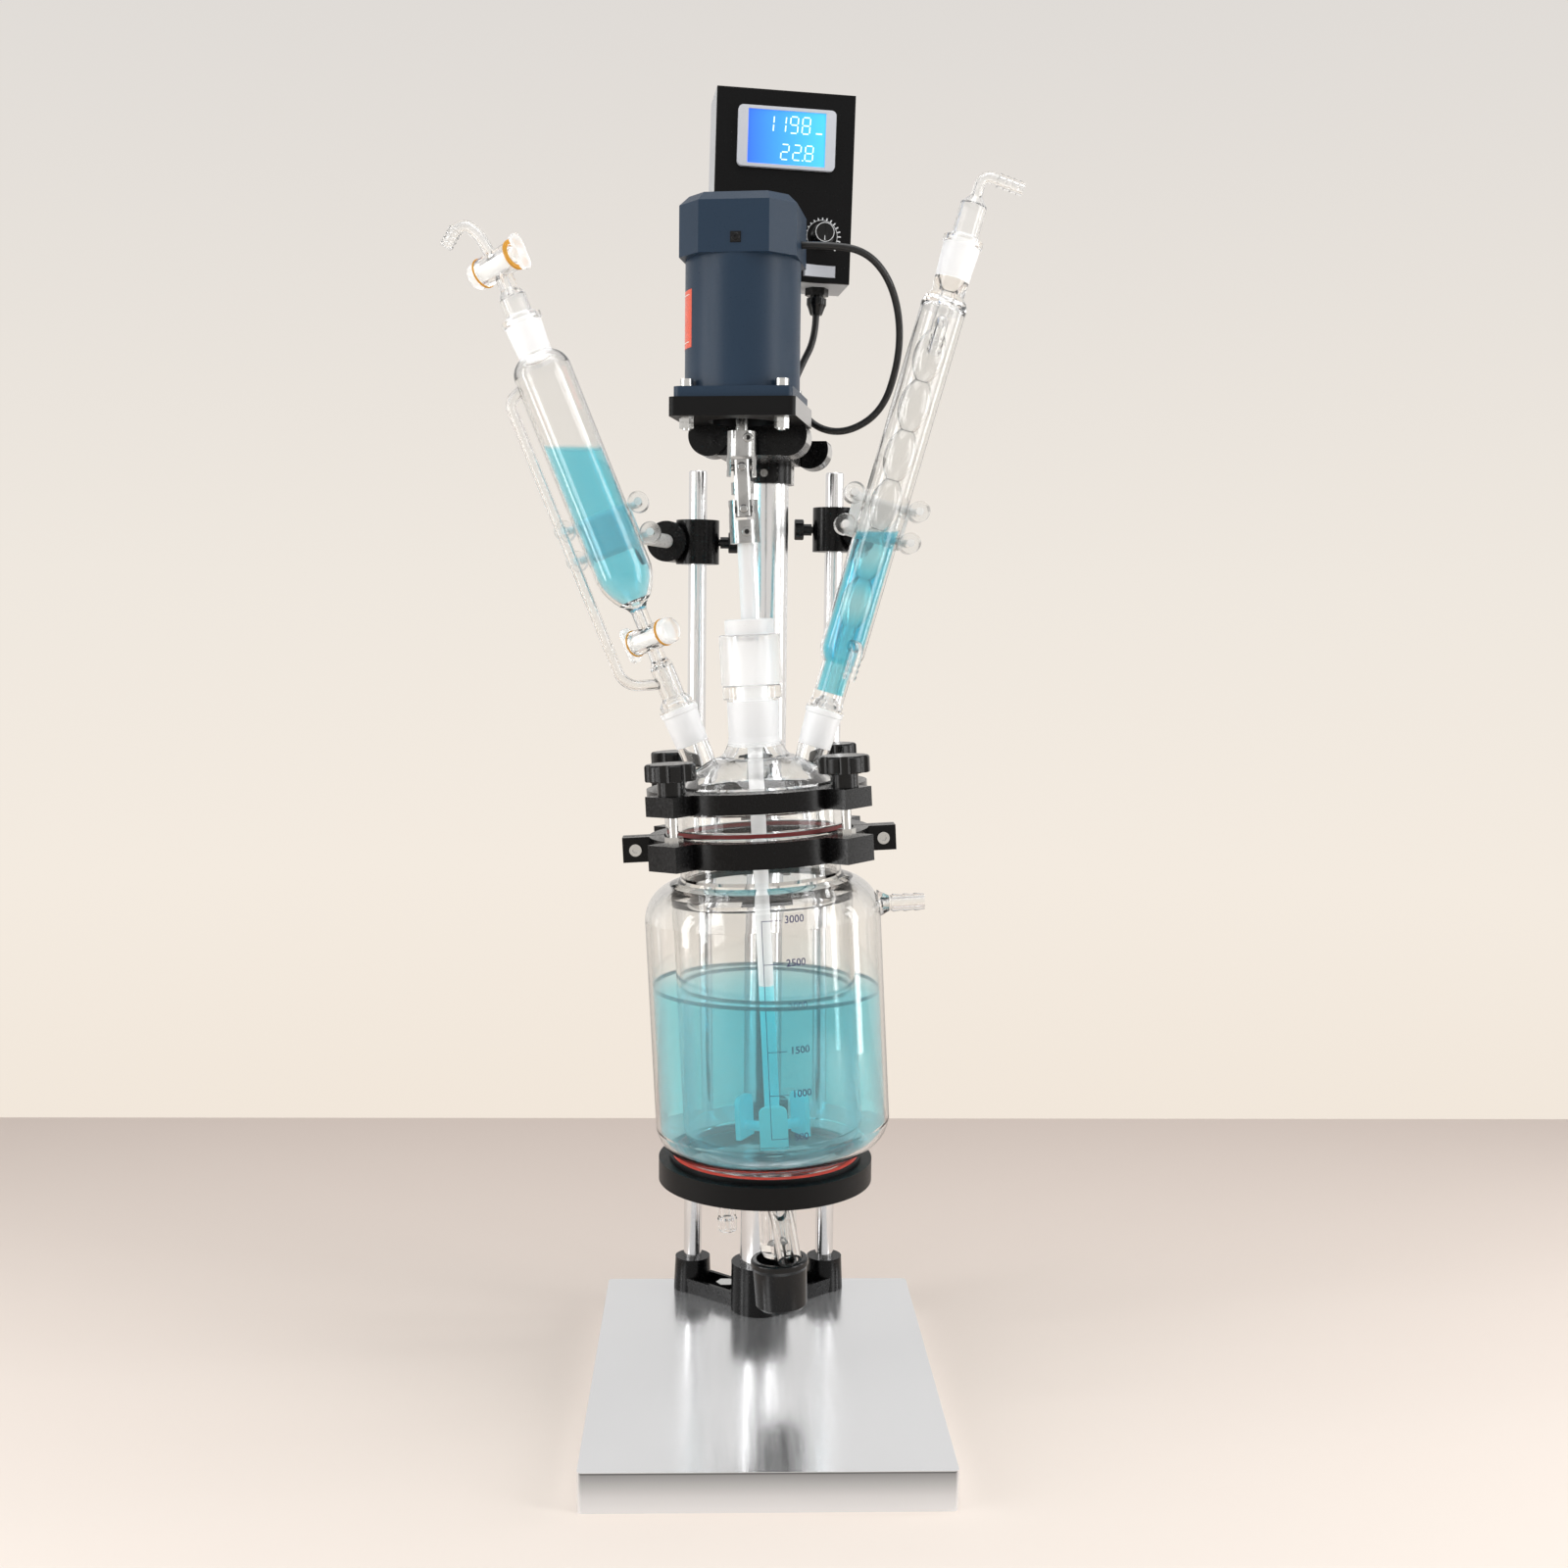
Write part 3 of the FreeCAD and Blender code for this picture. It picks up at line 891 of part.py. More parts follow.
tools = [cylinder("LobeBoltHole%d" % number, "MotorBoltRadius + SeatGap", "LobeRadius",
                  at=(across, "%s - %s" % (along, arm_length), "PlateLow - LobeRadius"))
         for number, (across, along) in enumerate(motor_corners[2:])]
tools.append(cylinder("ClampSleeveBore", "ColumnRadius + SeatGap", "ClampSleeveHeight",
                      at=("0", "0", "ClampSleeveLow")))
tools.append(cylinder("ClampScrewHole", "SetScrewRadius + SeatGap", "2 * ColumnRadius",
                      at=("0", "0", "ClampSleeveLow + ClampScrewUp"), axis=(1, 0, 0), turn="90"))
node("motor_bracket", cut("MotorBracket", fuse("BracketSolid", bracket_parts), tools,
                          inside="Bracket"))


def grub(name, start, length, **where):
    """A grub screw along Z with a hexagon socket in its outer end."""
    bar_piece = cylinder(name + "Bar", "SetScrewRadius", length, at=("0", "0", start))
    socket = hexagon(name + "Socket", "SetScrewRadius * 0.55", "SetScrewRadius",
                     at=("0", "0", "%s + %s - SetScrewRadius" % (start, length)))
    return cut(name, bar_piece, [socket], **where)


grubs = [grub("BracketGrub", "ColumnRadius + FaceGap", "ClampSleeveWall",
              inside="Bracket", at=("0", "0", "ClampSleeveLow + ClampScrewUp"),
              axis=(1, 0, 0), turn="90"),
         grub("TrayGrub", "ColumnRadius + FaceGap", "SleeveWall", inside="Stand",
              at=("0", "ColumnPlace", "TrayBottom + SleeveHeight / 2"), axis=(1, 0, 0), turn="-90"),
         grub("RingGrub", "ColumnRadius + FaceGap", "SleeveWall", inside="Stand",
              at=("0", "ColumnPlace", rod_height), axis=(1, 0, 0), turn="-90")]
node("set_screws", group("SetScrews", grubs))

# ---------------------------------------------------------------------------------------
# Gear motor: square flange and round body, octagonal cap, four bolts through the plate
# ---------------------------------------------------------------------------------------
flange_floor = "(PlateLow + PlateThick)"
body_floor = "(%s + FlangeHigh)" % flange_floor
cap_floor = "(%s + MotorHeight)" % body_floor
motor_flange = middle_block("MotorFlange", "FlangeSide", "FlangeSide", "FlangeHigh",
                            at=("0", "0", flange_floor))
motor_flange = softened("MotorFlangeCorners", motor_flange, "PlateCorner", upright)
motor_round = cylinder("MotorRound", "MotorRadius", "MotorHeight", at=("0", "0", body_floor))
tools = [cylinder("MotorBoltHole%d" % number, "MotorBoltRadius + BoltHoleGap",
                  "FlangeHigh", at=spot + (flange_floor,))
         for number, spot in enumerate(motor_corners)]
tools += [cylinder("MotorHeadRoom%d" % number, "MotorBoltHead + 1", "MotorBoltHead + 4",
                   at=spot + (body_floor,)) for number, spot in enumerate(motor_corners)]
node("motor_body", cut("MotorBody", fuse("MotorSolid", [motor_flange, motor_round]), tools,
                       inside="Motor"))
cap_block = bevelled("CapBlock", middle_block("CapSquare", "CapFlats", "CapFlats", "CapHeight",
                                              at=("0", "0", cap_floor)), "CapCorner", upright)
cap_crown = value(cap_floor + " + CapHeight")
cap_shape = bevelled("CapShape", cap_block, "CapChamfer",
                     lambda edge: edge.BoundBox.ZMin > cap_crown - 0.01)
cable_hole_height = "(%s + 13)" % cap_floor
cap_hole = cylinder("CapCableHole", "CableRadius + SoftGap", "CapFlats",
                    at=("CapFlats / 2 - 8", "0", cable_hole_height), axis=(0, 1, 0), turn="90")
node("motor_cap", cut("MotorCap", cap_shape, [cap_hole], inside="Motor"))
bolts = []
for number, spot in enumerate(motor_corners):
    shank = cylinder("MotorBoltShank%d" % number, "MotorBoltRadius",
                     "FlangeHigh + PlateThick + 3.2 * MotorBoltRadius",
                     at=spot + ("PlateLow - 3.2 * MotorBoltRadius",))
    head = cylinder("MotorBoltHead%d" % number, "MotorBoltHead", "2 * MotorBoltRadius",
                    at=spot + (body_floor,))
    socket = hexagon("MotorBoltSocket%d" % number, "MotorBoltRadius", "MotorBoltRadius",
                     at=spot + (body_floor + " + MotorBoltRadius",))
    nuts = [hexagon("MotorNut%d%d" % (number, row), "MotorBoltHead * 1.1",
                    "1.35 * MotorBoltRadius",
                    at=spot + ("PlateLow - %.2f * MotorBoltRadius" % (1.35 + 1.45 * row),))
            for row in range(2 if number < 2 else 0)]
    bolts.append(cut("MotorBolt%d" % number,
                     fuse("MotorBoltSolid%d" % number, [shank, head] + nuts), [socket]))
node("motor_bolts", group("MotorBolts", bolts, inside="Motor"))

# ---------------------------------------------------------------------------------------
# Control box: a folded shell, a band on the column, a front panel and its controls
# ---------------------------------------------------------------------------------------
shell_depth = "(BoxDepth - PanelThick)"
shell = block("BoxShellOuter", "BoxWidth", shell_depth, "BoxHeight",
              at=("-BoxWidth / 2", "-" + shell_depth, "0"))
hollow = block("BoxShellInner", "BoxWidth - 2 * BoxWall", shell_depth + " - BoxWall",
               "BoxHeight - 2 * BoxWall",
               at=("BoxWall - BoxWidth / 2", "-" + shell_depth, "BoxWall"))
gland_hole = cylinder("GlandHole", "GlandRadius * 0.7", "3 * BoxWall",
                      at=("GlandSide", "-BoxDepth / 2", "-BoxWall"))
node("control_box", cut("ControlBoxShell", shell, [hollow, gland_hole], inside="ControlBox"))
band_low = "(BoxHeight / 2 - BoxBandHeight / 2)"
band_ring = cylinder("BoxBandRing", "ColumnRadius + BoxBandWall", "BoxBandHeight",
                     inside="BoxTurn", at=("0", "0", band_low))
band_foot = block("BoxBandFoot", "BoxWidth / 2", "BoxBandWall", "BoxBandHeight",
                  inside="ControlBox", at=("-BoxWidth / 4 - BoxShift", "0", band_low))
band_bore = cylinder("BoxBandBore", "ColumnRadius + SeatGap", "3 * BoxBandHeight",
                     inside="BoxTurn", at=("0", "0", band_low + " - BoxBandHeight"))
node("box_band", cut("BoxBand", fuse("BoxBandSolid", [band_ring, band_foot]), [band_bore]))

panel = block("PanelSheet", "BoxWidth", "PanelThick", "BoxHeight",
              at=("-BoxWidth / 2", "-BoxDepth", "0"))
rocker_hole = block("RockerHole", "RockerWidth + 2 * RockerGap", "PanelThick",
                    "RockerHeight + 2 * RockerGap",
                    at=("RockerSide - RockerWidth / 2 - RockerGap", "-BoxDepth",
                        "RockerUp - RockerHeight / 2 - RockerGap"))
dial_hole = cylinder("DialHole", "DialPin + RunGap", "PanelThick",
                     at=("DialSide", "-BoxDepth", "DialUp"), axis=(1, 0, 0), turn="-90")
node("control_panel", cut("ControlPanel", panel, [rocker_hole, dial_hole],
                          inside="ControlBox"))
bezel = block("BezelBlock", "ScreenWidth", "ScreenThick", "ScreenHeight",
              at=("ScreenSide - ScreenWidth / 2", "-BoxDepth - ScreenThick",
                  "ScreenUp - ScreenHeight / 2"))
bezel = softened("BezelCorners", bezel, "ScreenThick",
                 lambda edge: abs(edge.BoundBox.YLength - value("ScreenThick")) < 0.01)
window = block("ScreenWindow", "ScreenWidth - 2 * ScreenRim", "ScreenThick / 4",
               "ScreenHeight - 2 * ScreenRimHigh",
               at=("ScreenSide - ScreenWidth / 2 + ScreenRim", "-BoxDepth - ScreenThick",
                   "ScreenUp - ScreenHeight / 2 + ScreenRimHigh"))
node("display", cut("Display", bezel, [window], inside="ControlBox"))
dial = turned("DialTurned", [
    ("0", "-PanelThick - 2"), ("DialPin", "-PanelThick - 2"), ("DialPin", "FaceGap"),
    ("DialRadius + 1.5", "FaceGap"), ("DialRadius + 1.5", "FaceGap + 2"),
    ("DialRadius", "FaceGap + 3"), ("DialRadius - 0.6", "DialLength"), ("0", "DialLength")],
    rounds=[("DialRadius - 0.6", "DialLength", "0.8")])
frame("DialAxis", "ControlBox", at=("DialSide", "-BoxDepth", "DialUp"), axis=(1, 0, 0), turn="90")
pointer = middle_block("DialPointer", "1.2", "DialRadius", "1",
                       at=("0", "DialRadius / 2", "DialLength - 0.6"))
node("speed_dial", cut("SpeedDial", dial, [pointer], inside="DialAxis"))
frame("RockerTurn", "ControlBox", at=("RockerSide", "-BoxDepth + RockerHeight / 2", "RockerUp"),
      turn="RockerTilt")
rocker_round = cylinder("RockerRound", "hypot(RockerWidth / 2; RockerHeight / 2)",
                        "RockerHeight", at=("0", "0", "-RockerHeight / 2"))
rocker_block = block("RockerBlock", "RockerWidth", "1.5 * RockerHeight", "RockerHeight",
                     at=("-RockerWidth / 2", "-RockerHeight", "-RockerHeight / 2"))
rocker_dip = cylinder("RockerDip", "3 * RockerWidth", "RockerHeight",
                      at=("0", "-3 * RockerWidth - 0.55 * RockerHeight", "-RockerHeight / 2"))
node("power_rocker", cut("PowerRocker", common("RockerFace", rocker_round, rocker_block),
                         [rocker_dip], inside="RockerTurn"))
gland_outside = turned("GlandTurned", [
    ("CableRadius + SoftGap", "-GlandLength"), ("CableRadius + 2", "-GlandLength"),
    ("GlandRadius - 1", "-GlandLength + 6"), ("GlandRadius", "-GlandLength + 8"),
    ("GlandRadius", "-8"), ("GlandRadius * 0.65", "-8"), ("GlandRadius * 0.65", "BoxWall + 4"),
    ("CableRadius + SoftGap", "BoxWall + 4")])
gland_nut = hexagon("GlandNut", "GlandRadius * 1.2", "6", at=("0", "0", "-6"))
gland_bore = cylinder("GlandBore", "CableRadius + SoftGap", "2 * GlandLength",
                      at=("0", "0", "-GlandLength"))
node("cable_gland", cut("CableGland", fuse("GlandSolid", [gland_outside, gland_nut]),
                        [gland_bore], inside="ControlBox",
                        at=("GlandSide", "-BoxDepth / 2", "0")))

# ---------------------------------------------------------------------------------------
# Motor cable: one round cable from the gland under the box, behind the motor, to its cap
# ---------------------------------------------------------------------------------------
cable_points = [
    ("36.3", "85.9", "849.8"), ("35.9", "85.8", "829.8"), ("25", "84", "808"),
    ("16", "72", "786"), ("31", "59", "757"), ("58", "47", "749"), ("87", "38", "766"),
    ("98", "27", "802"), ("98", "15", "834"), ("88", "1", "862"), ("69", "-10", "880"),
    ("41.7", "-12", "884"), ("14.7", "-7.1", "884")]
node("motor_cable", piped("MotorCable", cable_points, "CableRadius", inside="Stand"))

# ---------------------------------------------------------------------------------------
# Dropping funnel: ground cone, stem with a side tube, stopcock barrel, body and socket
# ---------------------------------------------------------------------------------------
cone_slope = "((SocketBore - SocketBoreFoot) / SocketLength)"
cone_top = "(SocketBore - SeatGap)"
cone_foot = "(%s - ConeDepth * %s)" % (cone_top, cone_slope)
socket_end = "(SocketBore - (FunnelSocketTop - FunnelSocketFoot) * %s)" % cone_slope


def cone_outline(base):
    """A ground cone below a socket's mouth and the collar above it."""
    return [("0", base + " - ConeDepth"), (cone_foot, base + " - ConeDepth"),
            (cone_top, base), (cone_top, base + " + FaceGap"),
            ("ConeCollar", base + " + FaceGap"), ("ConeCollar", base + " + CollarHeight - 2")]


def joint_outline(foot, top):
    """The outside of a ground socket with its rim, closed on the axis."""
    return [("JointOuter - 1.5", foot), ("JointOuter", top + " - JointRimHeight - 1"),
            ("JointRim", top + " - JointRimHeight"), ("JointRim", top), ("0", top)]


funnel_inner = "(FunnelRadius - FunnelWall)"
funnel_outside = turned("FunnelOutside", cone_outline("0") + [
    ("StemRadius", "CollarHeight + 3"), ("StemRadius", "StemTop"),
    ("StemNeck", "StemTop + 5"), ("StemNeck", "FunnelOutlet"),
    ("StemNeck + 6", "FunnelOutlet + 8", "-14"),
    ("FunnelRadius", "FunnelFoot + 6", "44"), ("FunnelRadius", "FunnelShoulder"),
    ("JointOuter - 1.5", "FunnelSocketFoot", "16")]
    + joint_outline("FunnelSocketFoot + 1", "FunnelSocketTop"))
stem_hollow = turned("StemHollow", [
    ("0", "-ConeDepth - 1"), (cone_foot + " - TubeWall", "-ConeDepth - 1"),
    (cone_foot + " - TubeWall", "0"), ("StemRadius - TubeWall", "CollarHeight"),
    ("StemRadius - TubeWall", "StemTop - 2"), ("DripRadius", "StemTop"),
    ("DripRadius", "CollarHeight"), ("0", "CollarHeight")])
drip_bore = cylinder("DripBoreHole", "DripBore", "StemTop - 4 - CollarHeight",
                     at=("0", "0", "CollarHeight - 1"))
passage = cylinder("FunnelPassage", "PlugBore", "FunnelOutlet - StemTop + 22",
                   at=("0", "0", "StemTop - 6"))
funnel_hollow = turned("FunnelHollow", [
    ("0", "FunnelOutlet + 4"), ("PlugBore", "FunnelOutlet + 4"),
    ("StemNeck + 4.4", "FunnelOutlet + 10", "-12"),
    (funnel_inner, "FunnelFoot + 7", "42"), (funnel_inner, "FunnelShoulder"),
    (socket_end, "FunnelSocketFoot - 2", "16"), (socket_end, "FunnelSocketFoot"),
    ("SocketBore", "FunnelSocketTop"), ("0", "FunnelSocketTop")])
side_points = [("-StemRadius + 1.5", "0", "SideTubeLow"), ("-SideTubePlace", "0", "SideTubeLow + 8"),
               ("-SideTubePlace", "0", "SideTubeHigh - 4"),
               ("-FunnelRadius + 3", "0", "SideTubeHigh + 1")]
side_tube = piped("SideTube", side_points, "SideTubeRadius")
bore_points = list(side_points)
bore_points[0] = ("-StemRadius + 3.2", "0", "SideTubeLow - 0.4")
bore_points[-1] = ("-FunnelRadius + 5.5", "0", "SideTubeHigh + 2.1")
side_bore = piped("SideTubeBoreHole", bore_points, "SideTubeBore")


def lying(name, swing, height, inside):
    """A frame whose Z runs along a stopcock's barrel and whose X runs down its tube."""
    frame(name + "Swing", inside, at=("0", "0", height), turn="-" + swing)
    frame(name, name + "Swing", axis=(0, 1, 0), turn="90")
    return name


def axis_cylinder(name, radius, length, place, swing, height):
    """A cylinder centred on a stopcock's axis, in the frame of its tube."""
    along = lying(name + "Axis", swing, height, "")
    return cylinder(name, radius, length, inside=along,
                    at=("0", "0", "%s - (%s) / 2" % (place, length)))


funnel_barrel = axis_cylinder("FunnelBarrel", "BarrelRadius", "BarrelLength", "0",
                              "BarrelTurn", "PlugHeight")
funnel_plug_hole = axis_cylinder("FunnelPlugHole", "PlugRadius + RunGap", "2 * BarrelLength",
                                 "0", "BarrelTurn", "PlugHeight")
funnel_solid = fuse("FunnelSolid", [funnel_outside, side_tube, funnel_barrel])
node("dropping_funnel", cut("DroppingFunnel", funnel_solid,
                            [stem_hollow, drip_bore, passage, funnel_hollow, side_bore,
                             funnel_plug_hole], inside="LeftMouth"))


def stopcock_plug(name, barrel_length, inside):
    """A plug through a barrel: a round knob at its +Z end and a flat handle at its -Z end."""
    reach = "(%s / 2 + StopRingThick + RunGap)" % barrel_length
    bar_piece = cylinder(name + "Bar", "PlugRadius", "2 * " + reach, at=("0", "0", "-" + reach))
    knob = turned(name + "Knob", [
        ("0", reach), ("KeyRadius", reach), ("KeyRadius", reach + " + KeyThick"),
        ("0", reach + " + KeyThick")], rounds=[("KeyRadius", reach + " + KeyThick", "2.5"),
                                               ("KeyRadius", reach, "0.8")])
    neck = cylinder(name + "Neck", "KeyNeck", "KeyNeckLength + 1",
                    at=("0", "0", "-%s - KeyNeckLength" % reach))
    flat = middle_block(name + "Flat", "HandleSpan", "HandleWidth", "HandleThick",
                        at=("0", "0", "-%s - KeyNeckLength - HandleThick" % reach))
    flat = softened(name + "Handle", flat, "HandleWidth / 2 - 0.2", upright)
    hole = cylinder(name + "Hole", "PlugBore", "4 * PlugRadius",
                    at=("-2 * PlugRadius", "0", "0"), axis=(0, 1, 0), turn="90")
    return cut(name, fuse(name + "Solid", [bar_piece, knob, neck, flat]), [hole], inside=inside)


lying("FunnelCock", "BarrelTurn", "PlugHeight", "LeftMouth")
node("funnel_plug", stopcock_plug("FunnelPlug", "BarrelLength", "FunnelCock"))

# ---------------------------------------------------------------------------------------
# Gas adapter on the funnel: ground cone, neck, stopcock and a bent hose barb
# ---------------------------------------------------------------------------------------


def barb(name, length, at, axis, turn):
    """Four low ridges of a hose barb standing along Z, its tip at the far end."""
    outline = [("0", "0"), ("BarbRadius", "0")]
    for ridge in range(4):
        low = "(%d * (%s) / 4)" % (ridge, length)
        outline.append(("BarbRadius + BarbRidge", "%s + BarbRidge" % low))
        outline.append(("BarbRadius", "%s + (%s) / 4" % (low, length)))
    outline.append(("0", length))
    return turned(name, outline, at=at, axis=axis, turn=turn)


adapter_outside = turned("AdapterOutside", cone_outline("FunnelSocketTop")[:-1] + [
    ("ConeCollar", "FunnelSocketTop + 1"), ("AdapterRadius", "FunnelSocketTop + 3"),
    ("AdapterRadius", "AdapterTop"), ("AdapterNeck", "AdapterNeckLow"),
    ("AdapterNeck", "GasPlugHeight"), ("0", "GasPlugHeight")])
adapter_hollow = turned("AdapterHollow", [
    ("0", "FunnelSocketTop - ConeDepth"), (cone_foot + " - TubeWall", "FunnelSocketTop - ConeDepth"),
    (cone_foot + " - TubeWall", "AdapterTop - 1"), ("PlugBore", "AdapterNeckLow"),
    ("PlugBore", "GasPlugHeight"), ("0", "GasPlugHeight")])
gas_path = [("-GasRootOut", "0", "GasPlugHeight + GasRootUp"),
            ("-GasRiseOut", "0", "GasPlugHeight + GasRiseUp"),
            ("-GasCrestOut", "0", "GasPlugHeight + GasCrestUp"),
            ("-GasFallOut", "0", "GasPlugHeight + GasCrestUp"),
            ("-GasTipOut", "0", "GasPlugHeight + GasTipUp")]
fall_run = "(GasTipOut - GasFallOut)"
fall_drop = "(GasCrestUp - GasTipUp)"
gas_tube = piped("GasTube", gas_path, "BarbRadius")
gas_tube_bore = piped("GasTubeBore", [("0", "0", "GasPlugHeight - 4")] + gas_path[1:-1] + [
    ("-GasTipOut - %s / 4" % fall_run, "0", "GasPlugHeight + GasTipUp - %s / 4" % fall_drop)],
    "BarbBore")
gas_barb = barb("GasBarb", "hypot(%s; %s)" % (fall_run, fall_drop), at=gas_path[3],
                axis=(0, 1, 0), turn="atan2(-%s; -%s)" % (fall_run, fall_drop))
gas_barrel = axis_cylinder("GasBarrel", "GasBarrelRadius", "GasBarrelLength", "0",
                           "GasBarrelTurn", "GasPlugHeight")
gas_plug_hole = axis_cylinder("GasPlugHole", "PlugRadius + RunGap", "2 * GasBarrelLength", "0",
                              "GasBarrelTurn", "GasPlugHeight")
gas_solid = fuse("GasSolid", [adapter_outside, gas_tube, gas_barb, gas_barrel])
node("gas_adapter", cut("GasAdapter", gas_solid, [adapter_hollow, gas_tube_bore, gas_plug_hole],
                        inside="LeftMouth"))
lying("GasCock", "(GasBarrelTurn + 180)", "GasPlugHeight", "LeftMouth")
node("gas_plug", stopcock_plug("GasPlug", "GasBarrelLength", "GasCock"))
rings = []
for name, radius, length in (("FunnelCock", "BarrelRadius", "BarrelLength"),
                             ("GasCock", "GasBarrelRadius", "GasBarrelLength")):
    for side, low in (("Front", "%s / 2" % length), ("Back", "-%s / 2 - StopRingThick" % length)):
        ring = cylinder(name + side + "Ring", radius + " + StopRingGrow", "StopRingThick",
                        at=("0", "0", low))
        hole = cylinder(name + side + "RingHole", "PlugRadius + SoftGap", "StopRingThick",
                        at=("0", "0", low))
        rings.append(cut(name + side + "RingCut", ring, [hole], inside=name))
node("stopcock_rings", group("StopcockRings", rings))

# ---------------------------------------------------------------------------------------
# Condenser: ground cone, a jacket round a tube of six bulbs, two hose ports and a socket
# ---------------------------------------------------------------------------------------
bulb_end = "(BulbStart + Bulbs * BulbPitch)"
bulb_arc = "((BulbPitch * BulbPitch / 4 + (BulbRadius - BulbNeck) * (BulbRadius - BulbNeck)) " \
           "/ 2 / (BulbRadius - BulbNeck))"
jacket_inner = "(CondenserRadius - TubeWall)"
condenser_outside = turned("CondenserOutside", cone_outline("0") + [
    ("CondenserNeck", "CollarHeight"), ("CondenserNeck", "CondenserFoot"),
    ("CondenserRadius", "CondenserFull", "24"), ("CondenserRadius", "CondenserHigh"),
    ("JointOuter - 1.5", "CondenserSocketFoot", "14")]
    + joint_outline("CondenserSocketFoot + 1", "CondenserSocketTop"))
bulb_count = int(value("Bulbs"))
bulb_tops = ["(BulbStart + %d * BulbPitch)" % step for step in range(bulb_count, 0, -1)]


def bulb_outline(inward, top):
    """Down the tube of bulbs from its top, inward of its outer surface by a wall or a gap."""
    neck = "BulbNeck - (%s)" % inward
    points = [(neck, top), (neck, bulb_tops[0])]
    for low in bulb_tops[1:] + ["BulbStart"]:
        points.append((neck, low, "-" + bulb_arc))
    return points


jacket_room = turned("CondenserRoom", [
    ("CondenserNeck - TubeWall", "CondenserNeckLow"), ("CondenserNeck - TubeWall", "CondenserFoot"),
    (jacket_inner, "CondenserFull + 0.5", "24"), (jacket_inner, "CondenserHigh"),
    ("BulbNeck + 4", "CondenserHigh + 8", "12"), ("BulbNeck", "CondenserHigh + 8")]
    + bulb_outline("0", "CondenserHigh + 2")[1:] + [("BulbNeck", "CondenserNeckLow")])
socket_inner = "(SocketBore - (CondenserSocketTop - CondenserSocketFoot - 12) * %s)" % cone_slope
tube_hollow = turned("CondenserTubeHollow", [
    ("0", "-ConeDepth"), (cone_foot + " - TubeWall", "-ConeDepth"),
    (cone_foot + " - TubeWall", "0"), ("BulbNeck - BulbWall", "CondenserNeckLow - 3")]
    + [("BulbNeck - BulbWall", "CondenserSocketFoot"), (socket_inner, "CondenserSocketFoot + 12"),
    ("SocketBore", "CondenserSocketTop"), ("0", "CondenserSocketTop")])
bulb_hollow = turned("BulbHollow", [("0", "BulbStart"), ("0", bulb_end)]
                     + bulb_outline("BulbWall", bulb_end)[1:])
ports = []
port_bores = []
for word, height, turn in (("Low", "PortLow", "LowPortTurn"), ("High", "PortHigh", "0")):
    port_frame = word + "Port"
    frame(port_frame, at=("0", "0", height), turn=turn)
    path = [("0", "-CondenserRadius + 1.5", "0"), ("0", "-CondenserRadius - PortOut", "0"),
            ("0", "-CondenserRadius - PortOut", "-PortReach")]
    bore_path = [("0", "-CondenserRadius + 4", "0"), path[1],
                 ("0", "-CondenserRadius - PortOut", "-PortReach - 2")]
    ports.append(piped(word + "PortTube", path, "PortRadius", inside=port_frame))
    port_bores.append(piped(word + "PortBore", bore_path, "PortBore", inside=port_frame))
    ridge = []
    for count in range(3):
        ridge.append(cone("%sPortRidge%d" % (word, count), "PortRadius - 0.3",
                          "PortRadius + BarbRidge", "4", inside=port_frame,
                          at=("0", "-CondenserRadius - PortOut",
                              "-PortReach + %d * 5" % count)))
    ports += ridge
condenser_solid = fuse("CondenserSolid", [condenser_outside] + ports)
node("condenser", cut("Condenser", condenser_solid,
                      [jacket_room, tube_hollow, bulb_hollow] + port_bores, inside="RightMouth"))

# Liquid standing in the funnel and in the condenser's jacket, level with the world
funnel_fill = turned("FunnelFill", [
    ("0", "FunnelOutlet + 6"), ("PlugBore - SoftGap", "FunnelOutlet + 6"),
    ("StemNeck + 4.4 - SoftGap", "FunnelOutlet + 10 + SoftGap", "-12"),
    (funnel_inner + " - SoftGap", "FunnelFoot + 7", "42"),
    (funnel_inner + " - SoftGap", "FunnelLevel + 20"), ("0", "FunnelLevel + 20")])
funnel_liquid = common("FunnelLiquid", funnel_fill, level_box(
    "FunnelLevelBox", "FunnelLevel", "(LeanAngle + SideNeckAngle)"), inside="LeftMouth")
condenser_fill = turned("CondenserFill", [
    ("CondenserNeck - TubeWall - SoftGap", "CondenserNeckLow + SoftGap"),
    ("CondenserNeck - TubeWall - SoftGap", "CondenserFoot"),
    (jacket_inner + " - SoftGap", "CondenserFull + 0.5", "24"),
    (jacket_inner + " - SoftGap", "CondenserLevel + 11"),
    ("BulbNeck + SoftGap", "BulbStart + 2 * BulbPitch"),
    ("BulbNeck + SoftGap", "BulbStart + BulbPitch", "-" + bulb_arc),
    ("BulbNeck + SoftGap", "BulbStart", "-" + bulb_arc),
    ("BulbNeck + SoftGap", "CondenserNeckLow + SoftGap")])
condenser_liquid = common("CondenserLiquid", condenser_fill, level_box(
    "CondenserLevelBox", "CondenserLevel", "(LeanAngle - SideNeckAngle)"), inside="RightMouth")
node("glassware_liquid", group("GlasswareLiquid", [funnel_liquid, condenser_liquid]))

